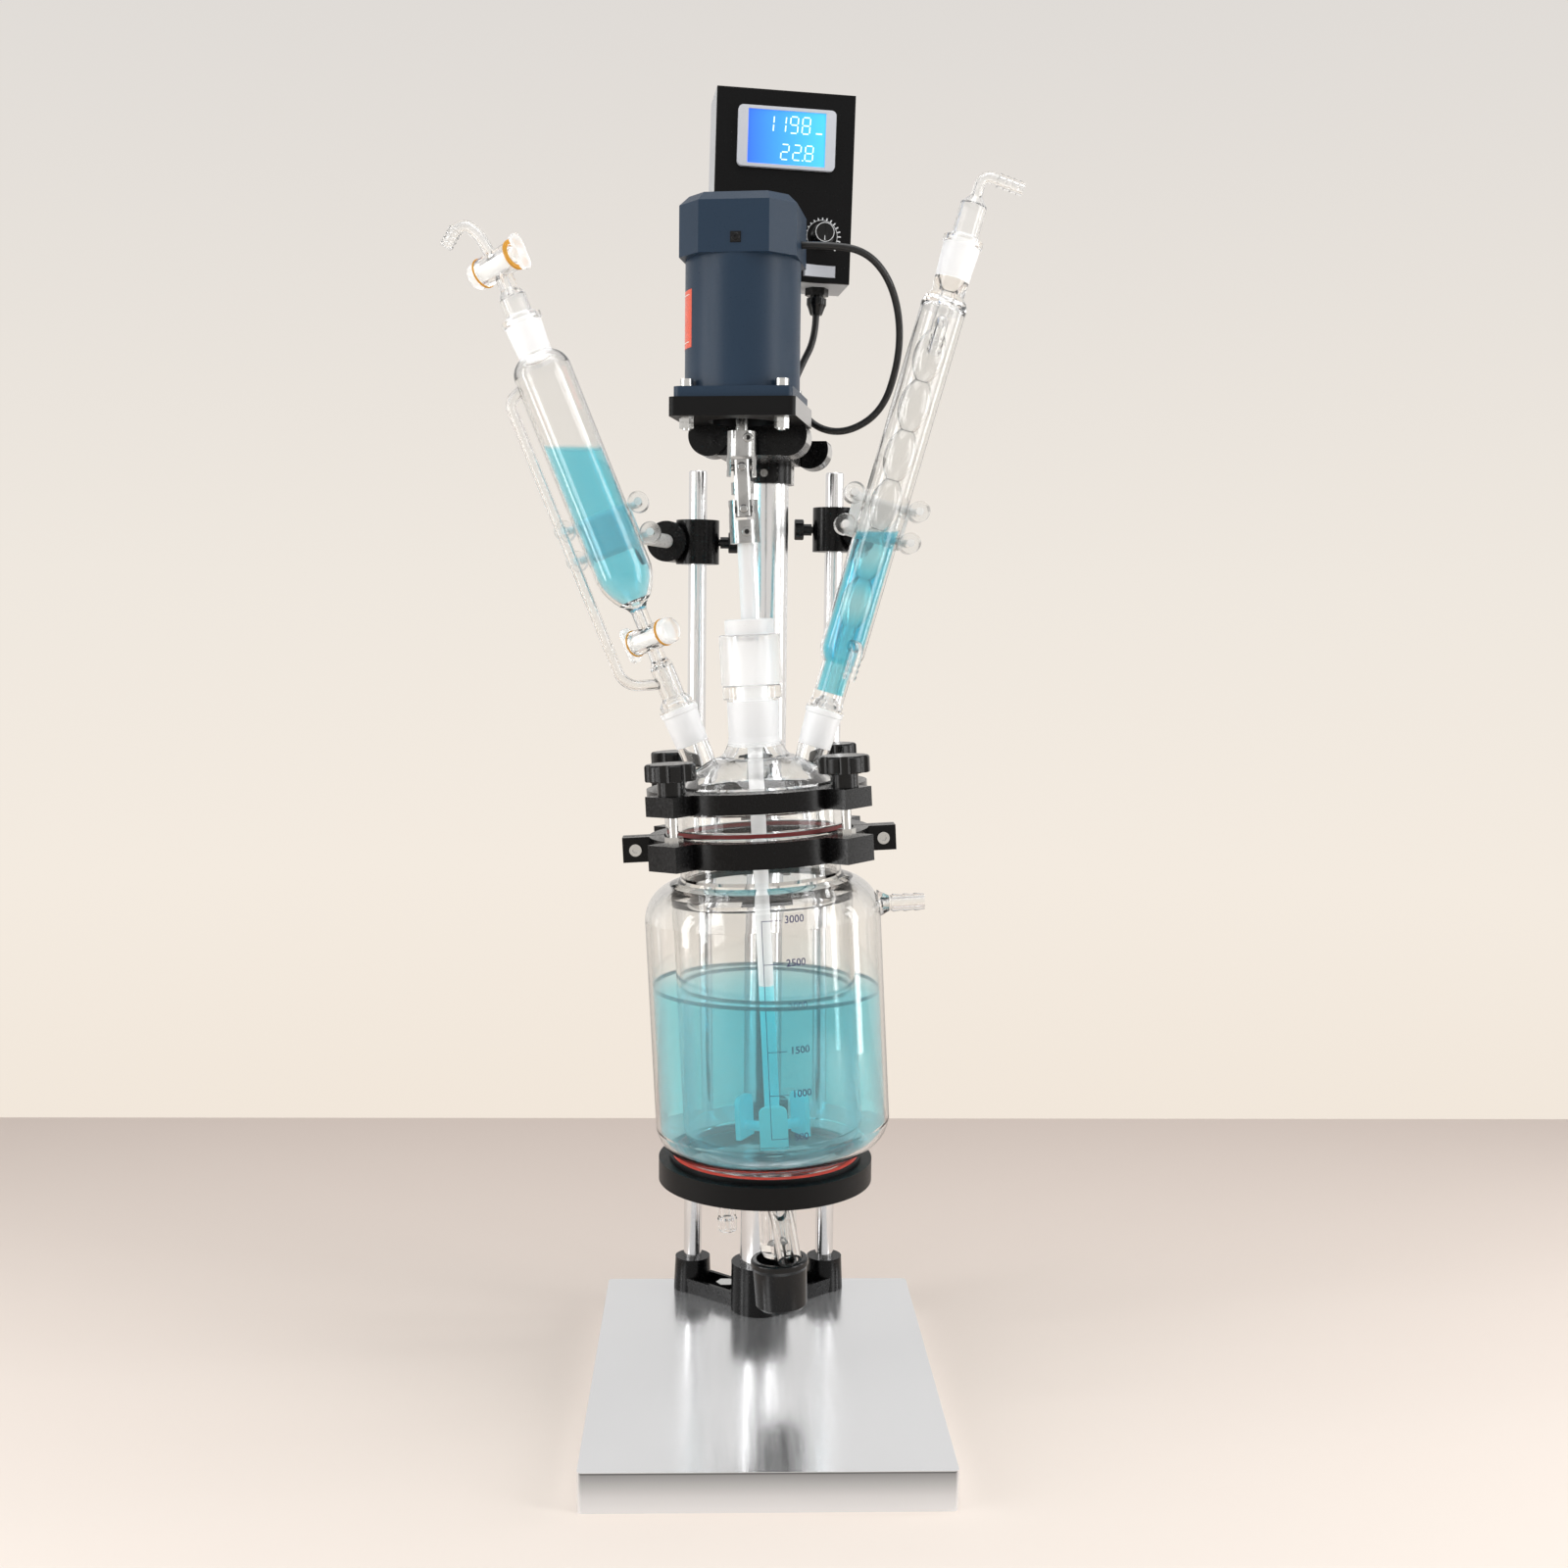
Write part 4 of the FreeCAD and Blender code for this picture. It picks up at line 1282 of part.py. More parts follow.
# Bent hose adapter in the condenser's socket
bend_outside = turned("BendOutside", cone_outline("CondenserSocketTop")[:-1] + [
    ("ConeCollar", "CondenserSocketTop + 1"), ("AdapterRadius", "CondenserSocketTop + 3"),
    ("AdapterRadius", "BendShoulder"), ("BendRadius", "BendNeckLow"), ("0", "BendNeckLow")])
bend_hollow = turned("BendHollow", [
    ("0", "CondenserSocketTop - ConeDepth"),
    (cone_foot + " - TubeWall", "CondenserSocketTop - ConeDepth"),
    (cone_foot + " - TubeWall", "BendShoulder - 1"), ("BendBore", "BendNeckLow - 1"),
    ("BendBore", "BendNeckLow"), ("0", "BendNeckLow")])
bend_slope = "(BendDrop / BendReach)"
bend_path = [("0", "0", "BendNeckLow - 1"), ("0", "0", "BendTop"),
             ("BendReach", "0", "BendTop - BendDrop")]
bend_tube = piped("BendTube", bend_path, "BendRadius")
bend_tube_bore = piped("BendTubeBore", bend_path[:2] + [
    ("BendReach + BarbRadius", "0", "BendTop - BendDrop - BarbRadius * " + bend_slope)],
    "BendBore")
bend_barb = barb("BendBarb", "BendReach - BendBarbStart",
                 at=("BendBarbStart", "0", "BendTop - BendBarbStart * " + bend_slope),
                 axis=(0, 1, 0), turn="atan2(BendReach; -BendDrop)")
bend_solid = fuse("BendSolid", [bend_outside, bend_tube, bend_barb])
node("condenser_adapter", cut("CondenserAdapter", bend_solid, [bend_hollow, bend_tube_bore],
                              inside="RightMouth"))

# ---------------------------------------------------------------------------------------
# Rod clamps: a boss on each side rod, an arm to a palm behind the tube, four sleeved prongs
# ---------------------------------------------------------------------------------------
bosses = []
fingers = []
sleeves = []
for word, side, tube, front in (("Left", -1, "FunnelRadius", "(SideTubeRadius + 2)"),
                                ("Right", 1, "CondenserRadius", "(-ProngFront)")):
    frame(word + "Grip", word + "Mouth",
          at=("0", "0", "ClampAlong + SideNeckAxial - " + mouth_places[word]))
    doc.recompute()
    spot = ["(%sGrip.Placement.Base.%s / 1mm)" % (word, letter) for letter in "xyz"]
    away = "(%d * RodSpread - %s)" % (side, spot[0])
    apart = "(RodPlace - %s)" % spot[1]
    far = "hypot(%s; %s)" % (away, apart)
    reach_along = "(%s * cos(asin(BossOffset / %s)))" % (far, far)
    swing = "(atan2(%s; %s) + %d * asin(BossOffset / %s))" % (away, apart, side, far)
    frame(word + "Arm", at=spot, turn="-" + swing)
    frame(word + "Cross", word + "Arm", at=("0", reach_along, "0"))
    clamp_height = spot[2] + " - BossHeight / 2"
    boss = cylinder(word + "BossRound", "BossRadius", "BossHeight",
                    at=("%d * RodSpread" % side, "RodPlace", clamp_height))
    cross_round = cylinder(word + "CrossRound", "CrossRadius", "CrossLength",
                           inside=word + "Cross", at=("0", "CrossLength / 2", "0"),
                           axis=(1, 0, 0), turn="90")
    rod_hole = cylinder(word + "RodHole", "RodRadius + SeatGap", "BossHeight",
                        at=("%d * RodSpread" % side, "RodPlace", clamp_height))
    arm_hole = cylinder(word + "ArmHole", "ArmRodRadius + SeatGap", "2 * CrossLength",
                        inside=word + "Cross", at=("0", "CrossLength", "0"),
                        axis=(1, 0, 0), turn="90")
    screw_turn = "0" if side < 0 else "180"
    frame(word + "Thumb", at=("%d * RodSpread" % side, "RodPlace", spot[2]), turn=screw_turn)
    screw_hole = cylinder(word + "ScrewHole", "ThumbScrewRadius + RunGap", "2 * BossRadius",
                          inside=word + "Thumb", at=("0", "0", "0"), axis=(0, 1, 0), turn="90")
    bosses.append(cut(word + "Boss", fuse(word + "BossSolid", [boss, cross_round]),
                      [rod_hole, arm_hole, screw_hole]))
    arm_bar = cylinder(word + "ArmBar", "ArmRodRadius", "CrossLength / 2 + 6 + %s - PalmPlace"
                       % reach_along, inside=word + "Arm",
                       at=("0", "PalmPlace + PalmThick / 2", "0"), axis=(1, 0, 0), turn="-90")
    palm = middle_block(word + "PalmBlock", "PalmWidth", "PalmThick",
                        "2 * (ProngSpread + ProngRadius + 2)",
                        at=("0", "PalmPlace", "-ProngSpread - ProngRadius - 2"))
    palm = softened(word + "Palm", palm, "5", lambda edge: edge.BoundBox.YLength < 0.01
                    and edge.BoundBox.XLength > 20)
    seat(palm, word + "Grip")
    pieces = [arm_bar, palm]
    for across in (-1, 1):
        for up in (-1, 1):
            name = "%sProng%s%s" % (word, "LR"[across > 0], "DU"[up > 0])
            reach = "(%s + SleeveRadius + SoftGap)" % tube
            points = [("%d * (PalmWidth / 2 - 5)" % across, "PalmPlace", "%d * ProngSpread" % up),
                      ("%d * %s" % (across, reach), front + " + SleeveLength + 5",
                       "%d * ProngSpread" % up),
                      ("%d * %s" % (across, reach), front + " + 1", "%d * ProngSpread" % up)]
            pieces.append(piped(name, points, "ProngRadius", 0.2, inside=word + "Grip"))
            tip = ("%d * %s" % (across, reach), front + " + SleeveLength",
                   "%d * ProngSpread" % up)
            outer = cylinder(name + "Sleeve", "SleeveRadius", "SleeveLength",
                             inside=word + "Grip", at=tip, axis=(1, 0, 0), turn="90")
            inner = cylinder(name + "SleeveBore", "ProngRadius + SeatGap", "SleeveLength",
                             inside=word + "Grip", at=tip, axis=(1, 0, 0), turn="90")
            sleeves.append(cut(name + "SleeveCut", outer, [inner]))
    fingers.append(fuse(word + "Fingers", pieces))
node("clamp_bosses", group("ClampBosses", bosses))
node("finger_clamps", group("FingerClamps", fingers))
node("clamp_sleeves", group("ClampSleeves", sleeves))
for word in ("Left", "Right"):
    name = word + "Thumbscrew"
    screw_start = "(RodRadius + FaceGap)"
    bar_piece = cylinder(name + "Bar", "ThumbScrewRadius",
                         "BossRadius + ThumbNeck - %s" % screw_start, at=("0", "0", screw_start))
    neck = cylinder(name + "Neck", "ThumbScrewRadius + 2", "ThumbNeck - 1",
                    at=("0", "0", "BossRadius + 1"))
    head = turned(name + "Head", [
        ("0", "BossRadius + ThumbNeck"), ("ThumbRadius", "BossRadius + ThumbNeck"),
        ("ThumbRadius", "BossRadius + ThumbNeck + ThumbThick"),
        ("0", "BossRadius + ThumbNeck + ThumbThick")],
        rounds=[("ThumbRadius", "BossRadius + ThumbNeck + ThumbThick", "1"),
                ("ThumbRadius", "BossRadius + ThumbNeck", "1")])
    frame(word + "ThumbAxis", word + "Thumb", axis=(0, 1, 0), turn="90")
    node(word.lower() + "_thumbscrew", fuse(name, [bar_piece, neck, head],
                                            inside=word + "ThumbAxis"))

# ---------------------------------------------------------------------------------------
# Drain valve: a clear body on the outlet, an open side arm and a knob with a cupped top
# ---------------------------------------------------------------------------------------
frame("DrainTurn", at=("0", "0", "DrainArmHeight"), turn="DrainArmTurn")
valve_body = turned("ValveBody", [
    ("0", "ValveBottom"), ("ValveRadius - 2", "ValveBottom"),
    ("ValveRadius - 2", "DrainKnobTop + 3"), ("ValveRadius", "DrainKnobTop + 8"),
    ("ValveRadius", "DishStart - FaceGap"), ("0", "DishStart - FaceGap")])
drain_path = [("0", "0", "0"), ("0", "-ValveRadius - 9", "-1"),
              ("0", "-DrainArmReach", "-DrainArmDrop")]
drain_arm = piped("DrainArm", drain_path, "DrainArmRadius", inside="DrainTurn")
drain_bore = piped("DrainArmBoreHole", drain_path[:2] + [
    ("0", "-1.03 * DrainArmReach", "-1.055 * DrainArmDrop")], "DrainArmBore", inside="DrainTurn")
valve_bore = cylinder("ValveBoreHole", "ValveBore", "DishStart - ValveBottom - 28",
                      at=("0", "0", "ValveBottom + 28"))
stem_room = cylinder("StemRoom", "DrainStemRadius + RunGap", "DishStart - ValveBottom",
                     at=("0", "0", "ValveBottom - 1"))
node("drain_valve", cut("DrainValve", fuse("DrainValveSolid", [valve_body, drain_arm]),
                        [drain_bore, valve_bore, stem_room], inside="Vessel"))
knob_outside = turned("DrainKnobOutside", [
    ("0", "DrainKnobLow"), ("DrainKnobRadius - 4", "DrainKnobLow"),
    ("DrainKnobRadius - 1", "DrainKnobLow + 3"), ("DrainKnobRadius", "DrainKnobTop - 8"),
    ("DrainKnobRim", "DrainKnobTop - 5"), ("DrainKnobRim", "DrainKnobTop"),
    ("0", "DrainKnobTop")], rounds=[("DrainKnobRim", "DrainKnobTop", "DrainKnobEdge")])
knob_cup = turned("DrainKnobCup", [
    ("DrainStemRadius", "DrainKnobTop - DrainCupDepth"),
    ("DrainCupRadius - 2", "DrainKnobTop - DrainCupDepth"),
    ("DrainCupRadius", "DrainKnobTop - DrainCupDepth + 2"), ("DrainCupRadius", "DrainKnobTop"),
    ("DrainStemRadius", "DrainKnobTop")])
knob_stem = cylinder("DrainStem", "DrainStemRadius", "DrainStemTop - DrainKnobTop + DrainCupDepth",
                     at=("0", "0", "DrainKnobTop - DrainCupDepth"))
node("drain_knob", fuse("DrainKnob", [cut("DrainKnobCupped", knob_outside, [knob_cup]), knob_stem],
                        inside="Vessel"))

# ---------------------------------------------------------------------------------------
# Check every object and write one STEP file for each sub-part
# ---------------------------------------------------------------------------------------
doc.recompute()
for item in doc.Objects:
    if "Invalid" in item.State or "Error" in item.State:
        raise RuntimeError("%s is %s" % (item.Name, item.State))
for piece in nodes:
    if piece.Shape.isNull() or not piece.Shape.isValid() or not piece.Shape.Solids:
        raise RuntimeError("%s has a bad shape" % piece.Label)
cable_spots = [FreeCAD.Vector(*[value(part) for part in point]) for point in cable_points]
cable_wire, cable_radii = smooth_path(cable_spots)
cable_section = math.pi * value("CableRadius") * value("CableRadius")
cable_volume = doc.getObject("MotorCable").Shape.Volume
print("cable bends", [round(radius, 1) for radius in cable_radii])
print("cable length %.1f, volume over length times section %.4f"
      % (cable_wire.Length, cable_volume / cable_wire.Length / cable_section))
os.makedirs("parts", exist_ok=True)
for piece in nodes:
    piece.Shape.exportStep("parts/%s.step" % piece.Label)
print("%d sub-parts written" % len(nodes))
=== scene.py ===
import bmesh
import bpy
import numpy as np
from mathutils import Matrix, Vector


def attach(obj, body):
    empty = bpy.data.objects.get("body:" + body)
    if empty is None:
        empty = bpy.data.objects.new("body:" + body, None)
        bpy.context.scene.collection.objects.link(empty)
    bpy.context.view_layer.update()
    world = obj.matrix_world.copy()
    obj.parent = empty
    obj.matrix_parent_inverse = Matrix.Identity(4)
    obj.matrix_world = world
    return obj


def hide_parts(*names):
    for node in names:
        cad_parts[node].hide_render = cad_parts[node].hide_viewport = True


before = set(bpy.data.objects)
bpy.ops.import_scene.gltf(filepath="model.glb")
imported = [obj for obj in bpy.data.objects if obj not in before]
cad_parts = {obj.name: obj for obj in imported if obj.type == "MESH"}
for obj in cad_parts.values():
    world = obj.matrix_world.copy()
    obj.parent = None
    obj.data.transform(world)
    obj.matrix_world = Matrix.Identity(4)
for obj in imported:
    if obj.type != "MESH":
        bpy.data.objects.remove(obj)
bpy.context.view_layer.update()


# Camera: a standing eye a little left of the column, looking slightly down over the whole
# stand with a normal lens. Nothing is out of focus.
def in_scene(name, data):
    """Puts data into the scene as an object at the origin."""
    thing = bpy.data.objects.new(name, data)
    bpy.context.scene.collection.objects.link(thing)
    return thing


camera = in_scene("camera", bpy.data.cameras.new("camera"))
camera.data.lens = 40.5
camera.location = (-0.0395, -1.372, 0.629)
camera.rotation_euler = np.radians((84.8, -0.66, -2.07))
bpy.context.scene.camera = camera
bpy.context.scene.view_settings.view_transform = "Standard"


# Room: a pale laminate bench top with a warm wall behind it. The wall is the world's own colour
# for anything seen directly, mirrored or through glass; other light comes from soft lamps.
def add(tree, kind, sockets, **settings):
    """Adds one shader node; a socket takes a number, a colour or another node's output."""
    node = tree.nodes.new("ShaderNode" + kind)
    for name, value in settings.items():
        setattr(node, name, value)
    for name, value in sockets.items():
        if isinstance(value, bpy.types.NodeSocket):
            tree.links.new(value, node.inputs[name])
        else:
            node.inputs[name].default_value = value
    return node


def paint(red, green, blue):
    """A colour of a chart, 0 to 255, as linear light with full opacity.

    A share c of 255 becomes ((c + 0.055) / 1.055) to the power 2.4, or c / 12.92 near black.
    """
    chart = np.array((red, green, blue)) / 255
    linear = np.where(chart > 0.04045, ((chart + 0.055) / 1.055) ** 2.4, chart / 12.92)
    return (*linear.tolist(), 1.0)


def ramp(tree, factor, *stops):
    """A colour that runs in straight lines through stops of (place, colour)."""
    node = add(tree, "ValToRGB", {"Fac": factor})
    points = node.color_ramp.elements
    while len(points) < len(stops):
        points.new(0.5)
    for point, (place, colour) in zip(points, stops):
        point.position, point.color = place, colour
    return node.outputs["Color"]


def spread(tree, value, first, last, low=0.0, high=1.0):
    """Carries a value from the range first to last onto low to high, held at both ends."""
    return add(tree, "MapRange", {"Value": value, "From Min": first, "From Max": last,
                                  "To Min": low, "To Max": high}).outputs[0]


def along(tree, vector, axis):
    """One coordinate of a vector."""
    return add(tree, "SeparateXYZ", {0: vector}).outputs[axis]


def combined(tree, operation, *values):
    """The result of one sum: MULTIPLY, MAXIMUM and so on."""
    return add(tree, "Math", dict(enumerate(values)), operation=operation).outputs[0]


def blend(tree, factor, colour, other):
    """The first colour where the factor is 0 and the other where it is 1."""
    return add(tree, "MixRGB", {"Fac": factor, "Color1": colour, "Color2": other}).outputs[0]


world = bpy.data.worlds.new("studio")
bpy.context.scene.world = world
world.use_nodes = True
air = world.node_tree
rays = add(air, "LightPath", {}).outputs
seen = combined(air, "MAXIMUM", rays["Is Camera Ray"], rays["Is Transmission Ray"])
lift = spread(air, along(air, add(air, "TexCoord", {}).outputs["Generated"], "Z"), -0.3, 0.35)
wall = ramp(air, lift, (0.0, paint(241, 230, 217)), (0.25, paint(244, 235, 224)),
            (0.5, paint(239, 232, 223)), (1.0, paint(222, 218, 214)))
mirrored = ramp(air, lift, (0.0, paint(168, 158, 150)), (0.35, paint(242, 237, 231)),
                (1.0, paint(222, 221, 220)))
around = blend(air, rays["Is Glossy Ray"], paint(196, 195, 194), mirrored)
air.links.new(blend(air, seen, around, wall), air.nodes["Background"].inputs["Color"])


def bare_material(name):
    """A new material with its node tree, its one shader and the surface point's place."""
    material = bpy.data.materials.new(name)
    material.use_nodes = True
    tree = material.node_tree
    return material, tree, tree.nodes["Principled BSDF"], add(tree, "TexCoord", {}).outputs["Object"]


BENCH_BACK, BENCH_FRONT, BENCH_HALF = 0.83, -4.0, 5.0
bench = in_scene("bench_top", bpy.data.meshes.new("bench_top"))
bench.data.from_pydata([(-BENCH_HALF, BENCH_FRONT, 0), (BENCH_HALF, BENCH_FRONT, 0),
                        (BENCH_HALF, BENCH_BACK, 0), (-BENCH_HALF, BENCH_BACK, 0)],
                       [], [(0, 1, 2, 3)])
laminate, tree, shader, spot = bare_material("bench_laminate")
# The bench top is painted darker towards the back: painted shade.
depth = spread(tree, along(tree, spot, "Y"), -0.65, BENCH_BACK)
speck = add(tree, "TexNoise", {"Vector": spot, "Scale": 700.0, "Detail": 2.0}).outputs[0]
tree.links.new(ramp(tree, depth, (0.0, paint(246, 237, 228)), (1.0, paint(214, 200, 191))),
               shader.inputs["Base Color"])
tree.links.new(spread(tree, speck, 0, 1, 0.6, 0.8), shader.inputs["Roughness"])
shader.inputs["Specular IOR Level"].default_value = 0.2
bench.data.materials.append(laminate)


def softbox(name, place, aim, width, tall, power):
    """A rectangular soft lamp in metres and watts that points at a spot and isn't seen itself."""
    lamp = in_scene(name, bpy.data.lights.new(name, "AREA"))
    lamp.data.shape, lamp.data.size, lamp.data.size_y = "RECTANGLE", width, tall
    lamp.data.energy = power
    lamp.location = place
    lamp.rotation_euler = (Vector(aim) - Vector(place)).to_track_quat("-Z", "Y").to_euler()
    lamp.visible_camera = False


softbox("left_softbox", (-1.5, -0.9, 0.95), (0, 0, 0.6), 0.5, 1.7, 9)
softbox("right_softbox", (1.5, -0.7, 0.95), (0, 0, 0.6), 0.6, 1.7, 11)
softbox("top_softbox", (0.1, -0.3, 2.3), (0, 0, 0.5), 1.4, 1.2, 15)
softbox("left_strip", (-1.6, -0.25, 0.6), (0, 0, 0.5), 0.2, 1.3, 6)
softbox("right_strip", (1.6, 0.2, 0.6), (0, 0, 0.5), 0.2, 1.3, 5)


# Base: a shallow closed box folded and welded from stainless steel sheet, polished on top to a
# soft mirror with the faint lines of its last belt from front to back. Its front face is less
# metallic and painted: a grey that darkens upwards as its reflection, a dark shade line under the
# fold and a highlight along its top edge.
def finish(name, colour, rough, grain=900.0, stretch=(1, 1, 1), relief=1e-5, shade=0.9,
           patch=14.0, **own):
    """A surface with a fine grain and a patchy tone, both solid noise in object space.

    The fine noise has `grain` spots a metre, fewer along an axis with a small stretch; it
    moves the roughness by a third each way and is the bump, `relief` metres high.  The broad
    noise takes the colour down to `shade` of itself.  `own` sets the shader's own sockets.
    """
    material, tree, shader, spot = bare_material(name)
    drawn = add(tree, "Mapping", {"Vector": spot, "Scale": stretch}).outputs[0]
    fine = add(tree, "TexNoise", {"Vector": drawn, "Scale": grain, "Detail": 3.0}).outputs[0]
    broad = add(tree, "TexNoise", {"Vector": spot, "Scale": patch, "Detail": 4.0}).outputs[0]
    worn = tuple(shade * part for part in colour[:3]) + (1.0,)
    tree.links.new(ramp(tree, broad, (0.35, worn), (0.6, colour)), shader.inputs["Base Color"])
    tree.links.new(spread(tree, fine, 0.3, 0.7, rough * 0.7, rough * 1.3),
                   shader.inputs["Roughness"])
    tree.links.new(add(tree, "Bump", {"Height": fine, "Distance": relief}).outputs[0],
                   shader.inputs["Normal"])
    for socket, value in own.items():
        shader.inputs[socket.replace("_", " ")].default_value = value
    return material


def cover(material, mask, colour):
    """Lays another colour over a finish's own where the mask is 1."""
    tree = material.node_tree
    base = tree.nodes["Principled BSDF"].inputs["Base Color"]
    tree.links.new(blend(tree, mask, base.links[0].from_socket, colour), base)


def dress(material, *names):
    """Gives CAD parts one finish."""
    for name in names:
        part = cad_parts[name]
        if not part.material_slots:
            part.data.materials.append(material)
        for slot in part.material_slots:
            slot.material = material


BASE_TOP = 30
steel_sheet = finish("polished_sheet_steel", paint(244, 244, 245), 0.2, grain=60.0,
                     stretch=(3, 0.1, 3), relief=0.0, shade=0.97, patch=5.0)
tree = steel_sheet.node_tree
surface = add(tree, "TexCoord", {}).outputs
# The front face's colour is painted light: a reflection that darkens upwards, a shade line under the
# fold and a highlight on the top edge.
painted_front_reflection = spread(tree, along(tree, surface["Normal"], "Y"), -0.6, -0.95)
rise = spread(tree, along(tree, surface["Object"], "Z"), 0.0, BASE_TOP / 1000)
cover(steel_sheet, painted_front_reflection, ramp(
    tree, rise, (0.0, paint(236, 236, 237)), (0.4, paint(216, 216, 217)), (0.8, paint(170, 171, 172)),
    (0.93, paint(150, 151, 152)), (0.97, paint(84, 85, 86)), (1.0, paint(214, 214, 214))))
tree.links.new(spread(tree, painted_front_reflection, 0, 1, 0.85, 0.15),
               tree.nodes["Principled BSDF"].inputs["Metallic"])
dress(steel_sheet, "base_plate")

# Foot: a black-enamelled iron casting that carries the column and the two rods, held down
# by bright hexagon bolts on washers.
black_enamel = finish("black_enamel", paint(6, 6, 7), 0.24, grain=420.0, relief=1e-6,
                      Specular_IOR_Level=0.2, Coat_Weight=0.06, Coat_Roughness=0.1)
bright_steel = finish("bright_zinc", paint(214, 214, 212), 0.22, grain=1500.0, Metallic=1.0)
dress(black_enamel, "foot_casting")
dress(bright_steel, "foot_bolts")

# Column and side rods: drawn steel tube and bar, ground and chromed, with the fine rings that
# centreless grinding leaves. They stand in the foot's sockets.
ground_steel = finish("ground_chrome", paint(232, 232, 233), 0.19, grain=160.0,
                      stretch=(0.2, 0.2, 14), relief=2e-6, shade=0.96, Metallic=1.0)
dress(ground_steel, "main_column", "left_side_rod", "right_side_rod")


# Tray: an aluminium ring on a sleeve, anodised matt black, with a red silicone seat that the
# vessel stands in. A thin black lip turned on the ring hides all but the top of the seat.
def placed(move, turn=0.0, about="Y", after=Matrix.Identity(4)):
    """A frame moved by millimetres and then turned by degrees, inside another frame."""
    turned = Matrix.Rotation(np.radians(turn), 4, about)
    return after @ Matrix.Translation(Vector(move) / 1000) @ turned


def carried(points, place):
    """Points of a frame in the part's own frame: turned by its rotation, then moved."""
    return points @ np.array(place.to_3x3()).T + np.array(place.translation)


def outline(*corners, steps=12):
    """Points (radius, height) in metres through corners in millimetres.

    A third value is the signed radius of the arc that arrives at the corner, positive where it
    runs anticlockwise; the arc is sampled as its centre plus radius times (cos a, sin a).
    """
    runs = [np.array([corners[0][:2]], float)]
    for before, corner in zip(corners, corners[1:]):
        start, end = np.array(before[:2], float), np.array(corner[:2], float)
        if len(corner) == 2:
            runs.append(end[None])
            continue
        radius, chord = corner[2], end - start
        span = np.hypot(*chord)
        side = np.array((-chord[1], chord[0])) / span
        centre = (start + end) / 2 + side * np.copysign(np.sqrt(radius ** 2 - span ** 2 / 4), radius)
        first, last = np.arctan2(*(start - centre)[::-1]), np.arctan2(*(end - centre)[::-1])
        sweep = (last - first + np.pi) % (2 * np.pi) - np.pi
        angle = first + sweep * np.linspace(0, 1, steps + 1)[1:]
        runs.append(centre + abs(radius) * np.stack((np.cos(angle), np.sin(angle)), -1))
    return np.concatenate(runs) / 1000


def lathe(profile, turns=96):
    """Turns an outline about Z: a point (r, h) goes to (r cos a, r sin a, h) for each angle a."""
    angle = np.linspace(0, 2 * np.pi, turns + 1)
    radius, height = profile[:, :1], profile[:, 1:]
    return np.stack((radius * np.cos(angle), radius * np.sin(angle), height + 0 * angle), -1)


def skin(name, material, body, slot, *grids, place=Matrix.Identity(4), sheet=False):
    """One piece over grids of points (rows, columns, 3) in metres, each cell one face.

    Points that meet, as at seams and poles, are merged, and edges sharper than 40 degrees stay
    sharp. Faces are turned outward, but an open sheet keeps the side of its grid, which is the
    cross product of the direction of its columns and the direction of its rows.
    """
    points, cells, count = [], [], 0
    for grid in grids:
        index = count + np.arange(grid[..., 0].size).reshape(grid.shape[:2])
        cells.append(np.stack((index[:-1, :-1], index[:-1, 1:], index[1:, 1:], index[1:, :-1]),
                              -1).reshape(-1, 4))
        points.append(grid.reshape(-1, 3))
        count += grid[..., 0].size
    mesh = bpy.data.meshes.new(name)
    spots = carried(np.concatenate(points), place)
    mesh.from_pydata(spots.tolist(), [], np.concatenate(cells).tolist())
    form = bmesh.new()
    form.from_mesh(mesh)
    bmesh.ops.remove_doubles(form, verts=form.verts, dist=2e-6)
    bmesh.ops.dissolve_degenerate(form, edges=form.edges, dist=1e-7)
    if not sheet:
        bmesh.ops.recalc_face_normals(form, faces=form.faces)
    form.to_mesh(mesh)
    form.free()
    mesh.shade_smooth()
    mesh.set_sharp_from_angle(angle=np.radians(40))
    mesh.materials.append(material)
    piece = in_scene(name, mesh)
    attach(piece, body)
    return piece


matt_black = finish("matt_anodised", paint(10, 10, 11), 0.4, grain=1800.0, relief=1.2e-5,
                    Specular_IOR_Level=0.17)
red_silicone = finish("red_silicone", paint(216, 66, 48), 0.45, grain=700.0,
                      Subsurface_Weight=0.15, Subsurface_Radius=(0.004, 0.001, 0.001))
dress(matt_black, "support_tray")
dress(red_silicone, "tray_ring")
LIP_INNER, LIP_OUTER, LIP_FOOT, LIP_TOP = 73.1, 75.7, 176.5, 180.6
skin("tray_lip", matt_black, "frame", "black_paint", lathe(outline(
    (LIP_INNER, LIP_FOOT), (LIP_OUTER, LIP_FOOT), (LIP_OUTER, LIP_TOP - 0.6),
    (LIP_OUTER - 0.6, LIP_TOP, 0.6), (LIP_INNER + 0.5, LIP_TOP), (LIP_INNER, LIP_TOP - 0.5, 0.5),
    (LIP_INNER, LIP_FOOT), steps=5)), place=placed((0, 0, BASE_TOP)))


